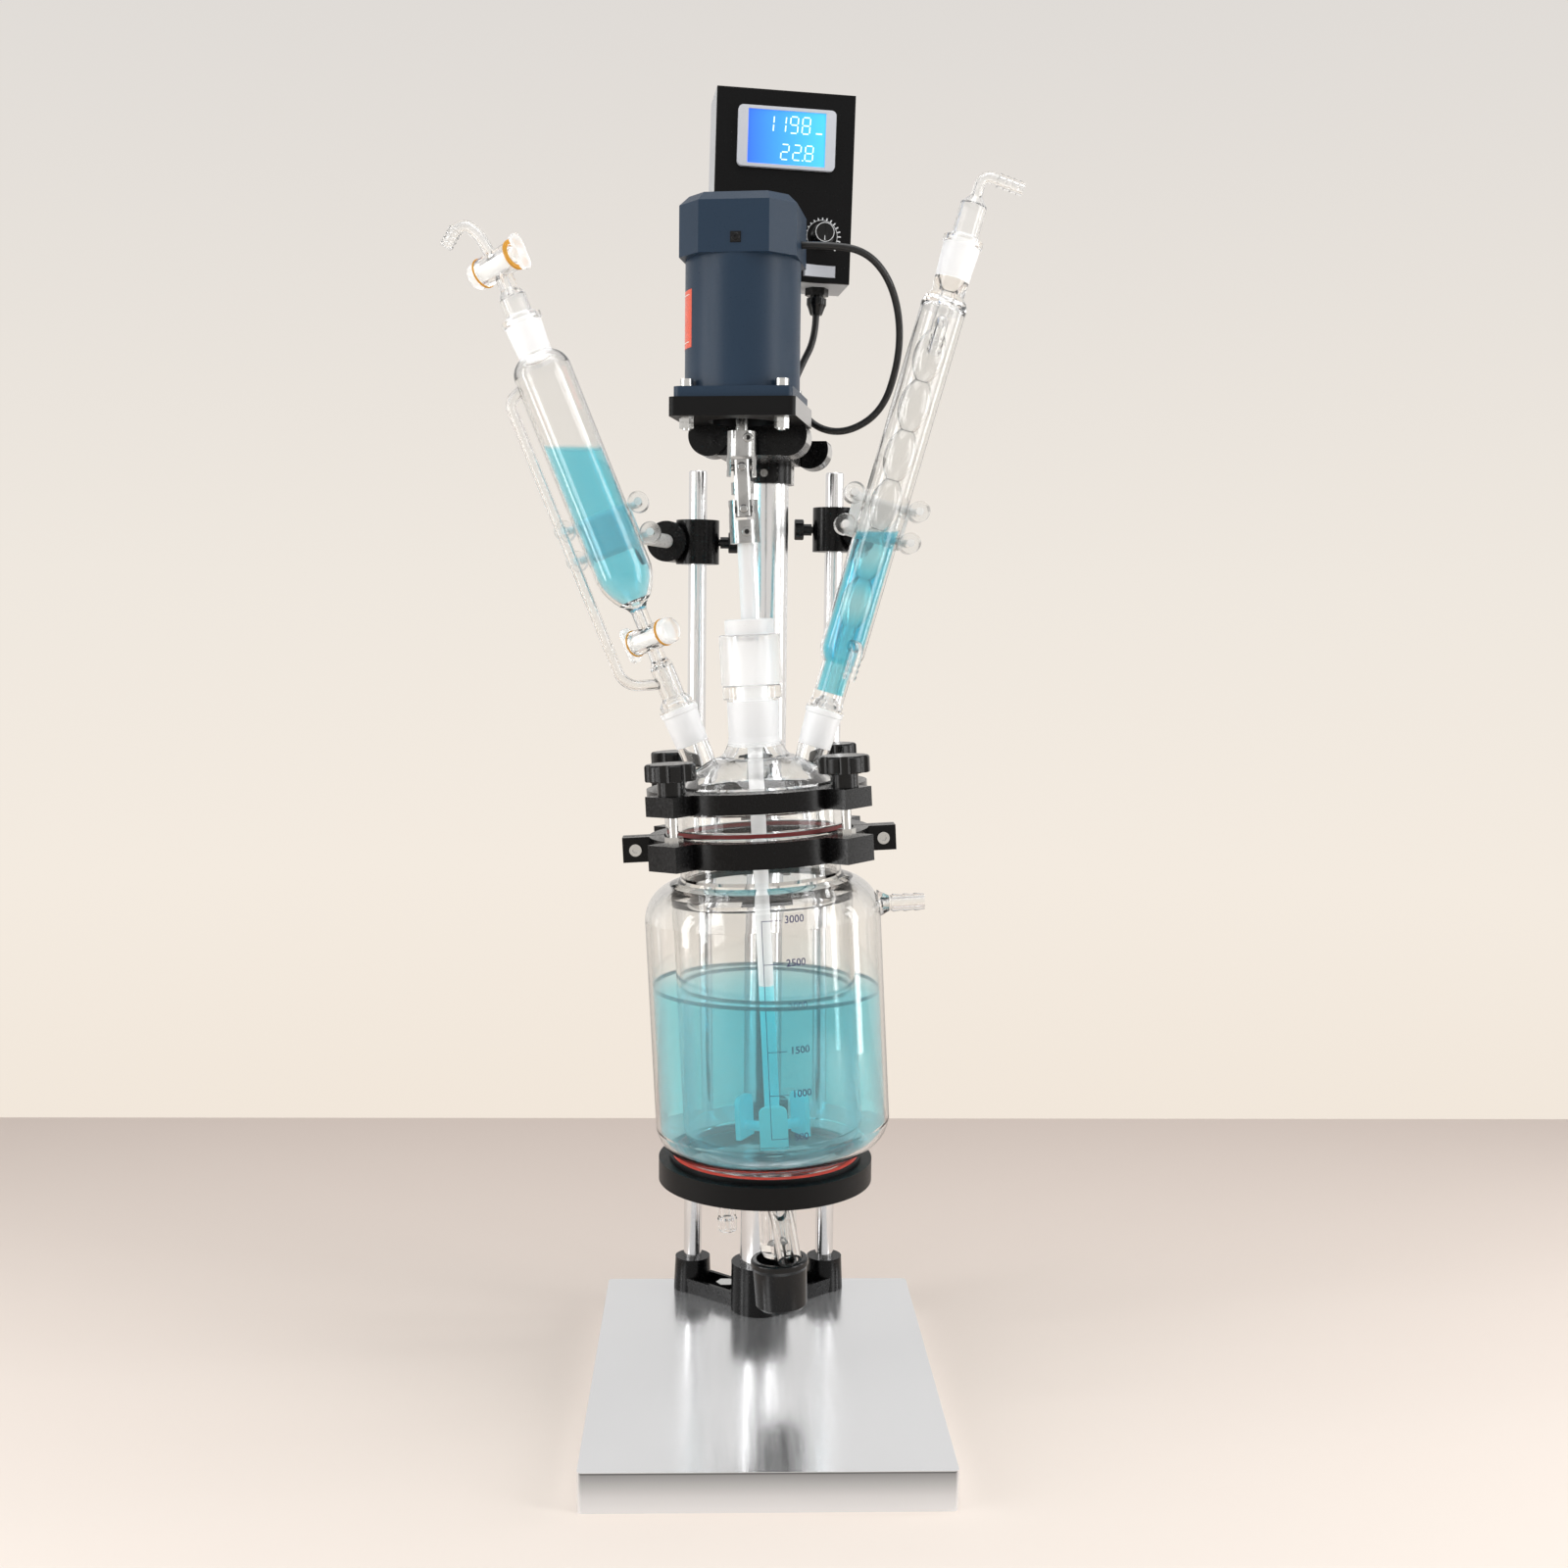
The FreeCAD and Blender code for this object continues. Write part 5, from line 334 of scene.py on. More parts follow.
# Vessel: an inner vessel and an outer jacket blown as one piece of borosilicate glass, which
# leans a little in its ring; two ridged nipples let water through the jacket.
def band(tree, spot, place, low, high, reach):
    """1 on a tube's stretch from low to high along its own Z, within reach of that line, else 0.

    Each end and the reach is a short slope from 0 to 1, and the three are multiplied.
    """
    into = place.inverted()
    local = add(tree, "Mapping", {"Vector": spot, "Location": into.translation,
                                  "Rotation": into.to_euler()}).outputs[0]
    parts = add(tree, "SeparateXYZ", {0: local}).outputs
    flat = add(tree, "CombineXYZ", {"X": parts["X"], "Y": parts["Y"]}).outputs[0]
    away = add(tree, "VectorMath", {0: flat}, operation="LENGTH").outputs["Value"]
    mask = 1.0
    for value, first, last in ((parts["Z"], low, low + 0.5), (parts["Z"], high, high - 0.5),
                               (away, reach + 1, reach)):
        mask = combined(tree, "MULTIPLY", mask, spread(tree, value, first / 1000, last / 1000))
    return mask


def glass(name, *ground, tint=(0.965, 0.968, 0.966), edge=(0.3, 0.33, 0.34), rough=0.0,
          clear=1.0, wave=3e-5, ior=1.47):
    """Blown borosilicate glass: clear, with painted grey shade where it is seen edge on, and a slow
    wave.

    Each of the ground bands (place, low, high, reach) is milky and rough, as a ground joint is.
    Light that only makes shadows passes straight through.
    """
    material, tree, shader, spot = bare_material(name)
    slow = add(tree, "TexNoise", {"Vector": spot, "Scale": 18.0, "Detail": 1.0}).outputs[0]
    tree.links.new(add(tree, "Bump", {"Height": slow, "Distance": wave}).outputs[0],
                   shader.inputs["Normal"])
    # Painted shade: the glass's colour turns to the edge grey where it is seen edge on.
    facing = add(tree, "LayerWeight", {"Blend": 0.25}).outputs["Facing"]
    colour = ramp(tree, facing, (0.3, (*tint, 1)), (0.95, (*edge, 1)))
    milky = 0.0
    for stretch in ground:
        milky = combined(tree, "MAXIMUM", milky, band(tree, spot, *stretch))
    if ground:
        colour = blend(tree, milky, colour, (0.9, 0.9, 0.9, 1))
        grit = add(tree, "TexNoise", {"Vector": spot, "Scale": 2500.0, "Detail": 2.0}).outputs[0]
        dull = combined(tree, "MULTIPLY", milky, spread(tree, grit, 0, 1, 0.4, 0.6))
        tree.links.new(dull, shader.inputs["Roughness"])
        tree.links.new(spread(tree, milky, 0, 1, clear, 0.4), shader.inputs["Transmission Weight"])
    else:
        shader.inputs["Roughness"].default_value = rough
        shader.inputs["Transmission Weight"].default_value = clear
    tree.links.new(colour, shader.inputs["Base Color"])
    shader.inputs["IOR"].default_value = ior
    shadow = add(tree, "LightPath", {}).outputs["Is Shadow Ray"]
    through = add(tree, "BsdfTransparent", {}).outputs[0]
    both = add(tree, "MixShader", {0: shadow, 1: shader.outputs[0], 2: through})
    tree.links.new(both.outputs[0], tree.nodes["Material Output"].inputs["Surface"])
    return material


LEAN, LEAN_PIVOT, VESSEL_PIVOT = 3.3, 333, 303
vessel_place = placed((0, 0, -VESSEL_PIVOT), after=placed((0, 0, LEAN_PIVOT), -LEAN))
clear_glass = glass("borosilicate")
dress(clear_glass, "jacketed_vessel", "jacket_nipples")


# Dyed water in the vessel and in its jacket, standing level though the glass leans. It creeps
# up the wall in a thin meniscus, takes the red out of what is behind it, and veils it a little.
def level(profile, lean, top, floor, turns=96):
    """A turned body of liquid whose upper end, above floor, is level though its frame leans.

    A point's height above the floor is stretched by (top - x tan lean - floor) / (top - floor).
    """
    points = lathe(profile, turns)
    height = points[..., 2]
    wanted = (top - floor) / 1000 - points[..., 0] * np.tan(np.radians(lean))
    stretch = np.where(height > floor / 1000, wanted / ((top - floor) / 1000), 1)
    points[..., 2] = floor / 1000 + (height - floor / 1000) * stretch
    return points


def dye(name, density, rough):
    """Water that absorbs red by its density and turns milky where it is seen edge on.

    Its roughness runs from the first to the second value with the fine noise.
    """
    material = finish(name, paint(104, 196, 208), 0.04, grain=30.0, relief=0.0, shade=0.94,
                      patch=9.0, IOR=1.33)
    tree = material.node_tree
    shader = tree.nodes["Principled BSDF"]
    dull = shader.inputs["Roughness"].links[0].from_node
    dull.inputs["To Min"].default_value, dull.inputs["To Max"].default_value = rough
    facing = add(tree, "LayerWeight", {"Blend": 0.5}).outputs["Facing"]
    tree.links.new(spread(tree, facing, 0.45, 0.85, 0.06, 0.36), shader.inputs["Alpha"])
    soak = add(tree, "VolumeAbsorption", {"Color": (0.03, 0.83, 0.93, 1), "Density": density})
    tree.links.new(soak.outputs[0], tree.nodes["Material Output"].inputs["Volume"])
    return material


DYE_LEVEL, CREEP, DYE_FLOOR, WALL_FOOT = 315, 2.2, 210, 8
VESSEL_BORE, JACKET_CORE, JACKET_BORE = 67.5, 70.8, 89.5
OUTLET_WALL, SHAFT_WALL = 14.3, 6.6
vessel_wall, jacket_wall = VESSEL_BORE - 0.2, JACKET_BORE - 0.3
cyan_dye = dye("cyan_dye", 12.0, (0.028, 0.052))
inner_dye = level(outline(
    (0, 173.4), (40, 178.3), (vessel_wall, 204, 37), (vessel_wall, DYE_LEVEL - WALL_FOOT),
    (vessel_wall, DYE_LEVEL + CREEP), (vessel_wall - 2.8, DYE_LEVEL, -3.2), (SHAFT_WALL, DYE_LEVEL),
    (0, DYE_LEVEL)), LEAN, DYE_LEVEL, DYE_FLOOR)
jacket_dye = level(outline(
    (OUTLET_WALL, 170.2), (OUTLET_WALL, 166.3), (73, 188.1, 133), (jacket_wall, 207.3, 23),
    (jacket_wall, DYE_LEVEL - WALL_FOOT), (jacket_wall, DYE_LEVEL + CREEP),
    (jacket_wall - 2.6, DYE_LEVEL, -3), (JACKET_CORE + 2.6, DYE_LEVEL),
    (JACKET_CORE, DYE_LEVEL + CREEP, -3), (JACKET_CORE, 204), (40, 174.7, -40), (OUTLET_WALL, 170.2)),
    LEAN, DYE_LEVEL, DYE_FLOOR)
vessel_dye = skin("vessel_dye", cyan_dye, "frame", "cyan_liquid", inner_dye, jacket_dye,
                  place=vessel_place)
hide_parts("vessel_liquids")
LINE_RISE, LINE_THICK = 1.4, 0.5
# A thin dark cyan ring inside each wall at the level is painted shade: the dark line that the meniscus
# shows.
meniscus_shade = finish("painted_meniscus_shade", paint(38, 104, 118), 0.1, grain=30.0, relief=0.0, Alpha=0.5)
meniscus_shade_rings = [level(outline(
    (bore - LINE_THICK, DYE_LEVEL - LINE_RISE), (bore - LINE_THICK, DYE_LEVEL + LINE_RISE),
    (bore - 2 * LINE_THICK, DYE_LEVEL + LINE_RISE), (bore - 2 * LINE_THICK, DYE_LEVEL - LINE_RISE),
    (bore - LINE_THICK, DYE_LEVEL - LINE_RISE)), LEAN, DYE_LEVEL, DYE_FLOOR)
    for bore in (VESSEL_BORE, JACKET_BORE)]
skin("meniscus_shade_line", meniscus_shade, "frame", "cyan_liquid", *meniscus_shade_rings, place=vessel_place)


# Scale: blue enamel printed on the inner vessel's wall and fired on, a long line with a stroke
# and a plain number at every half litre.
def printed(across, up, radius, front=0.0):
    """Wraps flat points in millimetres round a cylinder about Z, from its front to its right.

    The angle is the distance across over the radius; a point goes to (r sin a, -r cos a, up).
    """
    angle = across / radius + np.radians(front)
    return np.stack((radius * np.sin(angle), -radius * np.cos(angle), up + 0 * across), -1) / 1000


def stroke(left, right, low, high, radius, columns=9, rows=2, front=0.0):
    """A printed bar: a flat grid between its sides, wrapped round the cylinder."""
    across, up = np.meshgrid(np.linspace(left, right, columns), np.linspace(low, high, rows))
    return printed(across, up, radius, front)


blue_enamel = finish("blue_enamel", paint(26, 28, 88), 0.5, relief=3e-6, shade=0.85)
SCALE_RADIUS, SCALE_START, SCALE_STEP, SCALE_LITRES = 70.75, 211, 33.4, 3
MARK_LEFT, MARK_RIGHT, MARK_THICK = -2.7, 12, 0.5
NUMBER_LEFT, NUMBER_SIZE, NUMBER_BOLD = 14.5, 7.8, 0.012
scale_heights = SCALE_START + SCALE_STEP * np.arange(2 * SCALE_LITRES)
scale_marks = [stroke(MARK_LEFT, MARK_LEFT + MARK_THICK, SCALE_START, scale_heights[-1],
                      SCALE_RADIUS, columns=2, rows=41)]
scale_marks += [stroke(MARK_LEFT, MARK_RIGHT, up - MARK_THICK / 2, up + MARK_THICK / 2, SCALE_RADIUS)
                for up in scale_heights]
skin("scale_lines", blue_enamel, "frame", "clear_glass", *scale_marks, place=vessel_place,
     sheet=True)


def scale_number(volume, height):
    """A plain number: its letter outline made a flat mesh, then wrapped round the cylinder."""
    name = "scale_number_%d" % volume
    text = bpy.data.curves.new(name, "FONT")
    text.body, text.size = str(volume), NUMBER_SIZE
    text.align_x, text.align_y = "LEFT", "CENTER"
    text.resolution_u, text.offset = 3, NUMBER_BOLD * NUMBER_SIZE
    holder = in_scene(name, text)
    mesh = bpy.data.meshes.new_from_object(holder.evaluated_get(bpy.context.evaluated_depsgraph_get()))
    bpy.data.objects.remove(holder)
    flat = np.empty(3 * len(mesh.vertices))
    mesh.vertices.foreach_get("co", flat)
    across, up = flat.reshape(-1, 3)[:, :2].T
    wrapped = printed(NUMBER_LEFT + across, height + up, SCALE_RADIUS)
    mesh.vertices.foreach_set("co", carried(wrapped, vessel_place).ravel())
    mesh.materials.clear()
    mesh.materials.append(blue_enamel)
    mesh.update()
    number = in_scene(name, mesh)
    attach(number, "frame")


for volume, height in zip(range(500, 1000 * SCALE_LITRES + 1, 500), scale_heights):
    scale_number(volume, height)

# Drain valve: a clear glass body fused to the outlet with an open side arm, and a black
# moulded knob with a cupped top that screws its stem up and down.
black_plastic = finish("black_phenolic", paint(9, 9, 10), 0.22, grain=600.0, Specular_IOR_Level=0.33)
dress(clear_glass, "drain_valve")
dress(black_plastic, "drain_knob")

# Clamp rings: two black-enamelled rings, the lower one split and screwed round the neck, the
# upper one drawn down on four studs by lobed knobs. A sleeve holds them to the side rods.
dress(black_enamel, "lower_ring_front", "lower_ring_rear", "upper_clamp_ring", "ring_bracket")
dress(bright_steel, "ear_screws", "clamp_studs")
dress(black_plastic, "star_knob_1", "star_knob_2", "star_knob_3", "star_knob_4")

# Flange gasket: a flat ring of red silicone squeezed between the vessel's flange and the lid's,
# painted a darker red than the tray's silicone as shade, because little light reaches it between
# the clamp rings.
shaded_silicone = finish("painted_shade_red_silicone", paint(128, 40, 38), 0.5, grain=700.0)
dress(shaded_silicone, "flange_gasket")

# Lid: a blown glass dome on a thick flange, clamped by the upper ring. It has one upright neck
# and two that lean outwards, their bores ground white to take cones up to a clear rim.
SIDE_NECK_ROOT, SIDE_NECK_ANGLE, LEFT_NECK, RIGHT_NECK = 367.3, 19.0, 179.6, 173.1
NECK_LOW, NECK_TOP, NECK_REACH, JOINT_LENGTH, JOINT_REACH, NECK_RIM = 503, 541, 20.5, 31, 16, 1.5
left_mouth, right_mouth = [
    placed((0, 0, length), after=placed((0, 0, SIDE_NECK_ROOT), turn, after=vessel_place))
    for length, turn in ((LEFT_NECK, -SIDE_NECK_ANGLE), (RIGHT_NECK, SIDE_NECK_ANGLE))]
lid_glass = glass("lid_glass", (vessel_place, NECK_LOW, NECK_TOP - NECK_RIM, NECK_REACH),
                  (left_mouth, -JOINT_LENGTH, -NECK_RIM, JOINT_REACH),
                  (right_mouth, -JOINT_LENGTH, -NECK_RIM, JOINT_REACH))
dress(lid_glass, "vessel_lid")

# Stirrer seal: a glass collar with a white liner through it into a turned housing, whose
# milky plastic lets the liner show, under a white PTFE cap. The collar stands in the middle neck.
COLLAR_BORE, COLLAR_FOOT, COLLAR_TOP, COLLAR_RADIUS, COLLAR_CONE = 12.4, 507, 551.5, 22.9, 14.95
LINER_BORE, LINER_RADIUS, LINER_TOP = 6.2, 12.3, 586
ptfe = finish("white_ptfe", paint(238, 238, 238), 0.38, grain=500.0, shade=0.97,
              Subsurface_Weight=0.25, Subsurface_Radius=(0.004, 0.004, 0.004))
milky_plastic = glass("milky_plastic", tint=(0.95, 0.95, 0.95), edge=(0.8, 0.8, 0.8), rough=0.1,
                      clear=0.7, ior=1.38)
collar_glass = glass("collar_glass", (vessel_place, COLLAR_FOOT - 7, NECK_TOP + 0.5, JOINT_REACH))
dress(milky_plastic, "seal_housing")
dress(ptfe, "seal_cap")
collar = skin("seal_collar_glass", collar_glass, "frame", "clear_glass", lathe(outline(
    (COLLAR_BORE, COLLAR_FOOT), (COLLAR_CONE - 1, COLLAR_FOOT), (COLLAR_CONE, NECK_TOP),
    (COLLAR_RADIUS, NECK_TOP), (COLLAR_RADIUS, COLLAR_TOP - 1), (COLLAR_RADIUS - 1, COLLAR_TOP, 1.2),
    (COLLAR_BORE, COLLAR_TOP), (COLLAR_BORE, COLLAR_FOOT))), place=vessel_place)
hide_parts("seal_collar")
skin("seal_liner", ptfe, "frame", "white_ptfe", lathe(outline(
    (LINER_BORE, COLLAR_FOOT - 2), (LINER_RADIUS - 1.1, COLLAR_FOOT - 2), (LINER_RADIUS, COLLAR_FOOT),
    (LINER_RADIUS, LINER_TOP), (LINER_BORE, LINER_TOP), (LINER_BORE, COLLAR_FOOT - 2))),
    place=vessel_place)

# Stirrer: a shaft with a hub and three paddles turned and milled from white PTFE, hung from the
# joint above. Under the dye's level its colour is painted cyan for the dyed water in front of it,
# and it has a painted cyan glow.
GLOW_FROM, GLOW_REACH, PAINTED_GLOW = 150, 60, 0.22
painted_glow_ptfe = ptfe.copy()
painted_glow_ptfe.name = "painted_glow_ptfe"
tree = painted_glow_ptfe.node_tree
shader = tree.nodes["Principled BSDF"]
spot = add(tree, "TexCoord", {}).outputs["Object"]
under = band(tree, spot, vessel_place, GLOW_FROM, DYE_LEVEL, GLOW_REACH)
# Below the dye's level the PTFE's colour is painted cyan and it has a painted glow.
cover(painted_glow_ptfe, under, paint(140, 236, 240))
shader.inputs["Emission Color"].default_value = paint(100, 222, 228)
tree.links.new(combined(tree, "MULTIPLY", under, PAINTED_GLOW), shader.inputs["Emission Strength"])
dress(painted_glow_ptfe, "stirrer")

# Double universal joint between motor and stirrer, cast and nickel plated. A grub screw holds
# each yoke on its shaft, and the link turns on two riveted pins.
SHAFT_SIDE, CROSS_HEIGHT, CROSS_SPAN = -23.93, 718.7, 32
SCREW_RADIUS, SOCKET_RADIUS, PIN_RADIUS, PIN_FRONT = 3.6, 1.9, 3.3, -9.4
nickel = finish("nickel_plate", paint(178, 178, 177), 0.2, grain=700.0, relief=4e-5, patch=60.0,
                shade=0.75, Metallic=1.0)
# The grub screws' hex sockets are painted near black: painted shade in the recess.
socket_shade = finish("socket_shade", paint(12, 12, 13), 0.5)
dress(nickel, "lower_yoke", "joint_link", "upper_yoke", "motor_shaft", "set_screws")
shaft_place = placed((SHAFT_SIDE, 0, BASE_TOP))
for number, (shaft, body, side, front, up) in enumerate((
        (vessel_place, "stirrer", 1.5, -11.7, CROSS_HEIGHT - CROSS_SPAN - 17.5),
        (shaft_place, "drive", 4.5, -11, CROSS_HEIGHT + 21))):
    screw_place = placed((side, front, up), 90, "X", after=shaft)
    skin("grub_screw_%d" % number, nickel, body, "bright_steel", lathe(outline(
        (SOCKET_RADIUS, 0.9), (SCREW_RADIUS - 0.5, 0.9), (SCREW_RADIUS, 0.4, -0.6),
        (SCREW_RADIUS, -1)), turns=32), place=screw_place)
    skin("grub_socket_%d" % number, socket_shade, body, "bright_steel", lathe(outline(
        (SOCKET_RADIUS + 0.05, 0.8), (SOCKET_RADIUS, 0), (0, -0.2)), turns=6), place=screw_place,
        sheet=True)
for number in range(2):
    pin_place = placed((0, PIN_FRONT, CROSS_HEIGHT - CROSS_SPAN * number), 90, "X", after=vessel_place)
    skin("link_pin_%d" % number, nickel, "stirrer", "bright_steel", lathe(outline(
        (0, 1.1), (2, 1.1), (PIN_RADIUS, 0.2, -1.6), (PIN_RADIUS, -0.6)), turns=32), place=pin_place)


# Motor bracket: a black-painted casting on the column, its machined flanks left bare, under a
# black plate that the motor's flange is bolted to.
def bare_flanks(name, black, metal, sideways):
    """Black paint that stops at the machined faces, which look sideways and are bare metal.

    The mask is the size of the dot product of the face's normal and the sideways direction.
    """
    material = black.copy()
    material.name = name
    tree = material.node_tree
    normal = add(tree, "TexCoord", {}).outputs["Normal"]
    turned = add(tree, "VectorMath", {0: normal, 1: sideways}, operation="DOT_PRODUCT").outputs["Value"]
    bare = spread(tree, combined(tree, "ABSOLUTE", turned), 0.93, 0.96)
    cover(material, bare, metal)
    tree.links.new(bare, tree.nodes["Principled BSDF"].inputs["Metallic"])
    return material


MOTOR_TURN = -10.35
motor_place = placed((SHAFT_SIDE, 0, BASE_TOP), MOTOR_TURN, "Z")
# The flanks look along the motor's own X axis.
flank = (float(motor_place[0][0]), float(motor_place[1][0]), 0.0)
cast_black = bare_flanks("bracket_paint", black_enamel, paint(205, 204, 202), flank)
plate_black = bare_flanks("plate_paint", matt_black, paint(196, 195, 194), flank)
dress(cast_black, "motor_bracket")
dress(plate_black, "motor_plate")

# Gear motor: a round body on a square flange under a chamfered cap, all in slate hammer paint,
# with an orange label on its left flank and a screw in a square recess in the cap's front, the
# recess's shade painted as a raised black square.
BODY_RADIUS, CAP_SIDE, CAP_FRONT, CAP_SCREW_UP = 44, 1.5, -44.6, 881.7
LABEL_WIDE, LABEL_LOW, LABEL_HIGH, LABEL_FRONT, LABEL_MARGIN = 44, 805, 848, -51, 4
slate_paint = finish("slate_paint", paint(30, 50, 70), 0.38, grain=1300.0, relief=7e-5, shade=0.94,
                     patch=10.0, Specular_IOR_Level=0.3)
label_film = finish("orange_label", paint(226, 86, 56), 0.3, grain=200.0, relief=5e-6, shade=0.96)
pale_film = finish("label_border", paint(238, 226, 218), 0.3, grain=200.0, relief=5e-6)
dress(slate_paint, "motor_body", "motor_cap")
dress(bright_steel, "motor_bolts")
label = stroke(-LABEL_WIDE, 0, LABEL_LOW, LABEL_HIGH, BODY_RADIUS + 0.15, columns=33, front=LABEL_FRONT)
label_lines = [stroke(LABEL_MARGIN - LABEL_WIDE, -LABEL_MARGIN, up, up + 0.7, BODY_RADIUS + 0.25,
                      columns=33, front=LABEL_FRONT)
               for up in (LABEL_LOW + LABEL_MARGIN, LABEL_HIGH - LABEL_MARGIN)]
skin("motor_label", label_film, "frame", "slate_paint", label, place=motor_place, sheet=True)
skin("label_lines", pale_film, "frame", "slate_paint", *label_lines, place=motor_place, sheet=True)
cap_face = placed((CAP_SIDE, CAP_FRONT, CAP_SCREW_UP), 90, "X", after=motor_place)
skin("cap_screw", black_plastic, "frame", "bright_steel", lathe(outline(
    (0, 0.6), (0.7, 0.6), (0.9, 1.4), (2.4, 1.2), (3, 0.4, 1.2), (3, 0)), turns=32), place=cap_face)
# The black square round the cap screw is painted shade of the square recess it sits in.
skin("cap_screw_shade_square", black_plastic, "frame", "slate_paint", lathe(outline(
    (0, 0.45), (5.4, 0.45), (5.7, -0.05), (5.7, -0.55)), turns=4),
    place=cap_face @ Matrix.Rotation(np.radians(45), 4, "Z"))


# Control box: a closed steel box painted light grey with a black front, held to the column by a
# band. Its front carries a blue liquid-crystal display behind a pale bezel, a speed dial and a
# rocker, and a gland for the cable is screwed in below.
def lit(name, left, right, strength):
    """A back-lit film whose light runs from one colour on the left to another on the right.

    The share of the right colour is the larger of x and x times a soft cloud less a quarter,
    where x runs from 0 to 1 across the display.
    """
    material, tree, shader, spot = bare_material(name)
    across = spread(tree, along(tree, spot, "X"), -0.025, 0.04)
    cloud = add(tree, "TexNoise", {"Vector": spot, "Scale": 40.0}).outputs[0]
    cloudy = combined(tree, "MULTIPLY_ADD", across, cloud, -0.25)
    colour = ramp(tree, combined(tree, "MAXIMUM", across, cloudy), (0.0, left), (1.0, right))
    tree.links.new(colour, shader.inputs["Emission Color"])
    tree.links.new(colour, shader.inputs["Base Color"])
    shader.inputs["Emission Strength"].default_value = strength
    shader.inputs["Roughness"].default_value = 0.25
    return material


BOX_BACK, BOX_LOW, BOX_TURN, BOX_TILT = 131, 900, 5.7, 1.3
box_place = placed((-0.9, -22.5, 0), BOX_TILT, "Y", after=placed((0, BOX_BACK, BOX_LOW), BOX_TURN, "Z"))
grey_paint = finish("grey_powder", paint(190, 192, 195), 0.45, relief=2e-5)
bezel_grey = finish("bezel_grey", paint(200, 203, 210), 0.35, relief=8e-6, shade=0.96)
front_black = finish("front_black", paint(10, 10, 11), 0.35, Specular_IOR_Level=0.15)
white_print = finish("white_print", paint(226, 228, 230), 0.5, grain=600.0, relief=2e-6)
lcd_film = lit("lcd_film", paint(44, 92, 236), paint(66, 178, 246), 0.75)
lcd_figure = lit("lcd_figure", paint(206, 236, 255), paint(216, 246, 255), 0.9)
dress(grey_paint, "control_box", "box_band")
dress(bezel_grey, "display", "power_rocker")
dress(front_black, "control_panel")
dress(black_plastic, "cable_gland", "speed_dial")

SCREEN_SIDE, SCREEN_UP, SCREEN_FACE, SCREEN_WIDE, SCREEN_TALL = 0.6, 109, -55.1, 61.4, 41.2
FIGURE_WIDE, FIGURE_PITCH, FIGURE_RISE, BAR_THICK, BAR_GAP, SLANT = 6, 9.6, 0.12, 0.95, 0.25, 0.06
SEGMENTS = {"a": (0, 1, 1, 1), "b": (1, 0.5, 1, 1), "c": (1, 0, 1, 0.5), "d": (0, 0, 1, 0),
            "e": (0, 0, 0, 0.5), "f": (0, 0.5, 0, 1), "g": (0, 0.5, 1, 0.5)}
SHAPES = {"1": "bc", "2": "abged", "8": "abcdefg", "9": "abcdfg"}


def flat_patch(left, right, low, high, rise):
    """A flat patch in X and Z, left and right of the display's middle, in front of its film."""
    across, up = np.meshgrid((SCREEN_SIDE + left, SCREEN_SIDE + right), (low, high))
    return np.stack((across, SCREEN_FACE - rise + 0 * across, up), -1) / 1000


def digit(figure, left, low, high):
    """The bars of one seven-segment figure, each a thin patch between two corners of its cell.

    A bar is shortened at its ends, widened across, and leans by SLANT times its height.
    """
    bars = []
    for name in SHAPES[figure]:
        x0, y0, x1, y1 = np.array(SEGMENTS[name]) * (FIGURE_WIDE, high, FIGURE_WIDE, high)
        grow = BAR_THICK / 2
        trim = BAR_GAP + grow
        x0, x1 = (x0 + trim, x1 - trim) if x1 > x0 else (x0 - grow, x1 + grow)
        y0, y1 = (y0 + trim, y1 - trim) if y1 > y0 else (y0 - grow, y1 + grow)
        patch = flat_patch(left + x0, left + x1, low + y0, low + y1, FIGURE_RISE)
        patch[..., 0] += SLANT * (patch[..., 2] - low / 1000)
        bars.append(patch)
    return bars


skin("lcd_screen", lcd_film, "frame", "pale_plastic", flat_patch(
    -SCREEN_WIDE / 2, SCREEN_WIDE / 2, SCREEN_UP - SCREEN_TALL / 2, SCREEN_UP + SCREEN_TALL / 2, 0),
    place=box_place, sheet=True)
figures = []
for text, first, low, high in (("1198", -17, 113, 12.5), ("228", -4.5, 92.5, 11.5)):
    for number, figure in enumerate(text):
        figures += digit(figure, first + FIGURE_PITCH * number, low, high)
decimal_point = flat_patch(12.4, 13.5, 92, 93, FIGURE_RISE)
unit_dash = flat_patch(23, 28, 113.2, 114.3, FIGURE_RISE)
skin("lcd_figures", lcd_figure, "frame", "pale_plastic", *figures, decimal_point, unit_dash,
     place=box_place, sheet=True)


def ring_arc(inner, outer, start, sweep, height, columns=2):
    """A flat strip of a ring: radius times (sin a, cos a), the angle running clockwise from the top."""
    turns = np.radians(start + sweep * np.linspace(0, 1, columns))
    angle, radius = np.meshgrid(turns, (inner, outer))
    return np.stack((radius * np.sin(angle), radius * np.cos(angle), height + 0 * angle), -1) / 1000


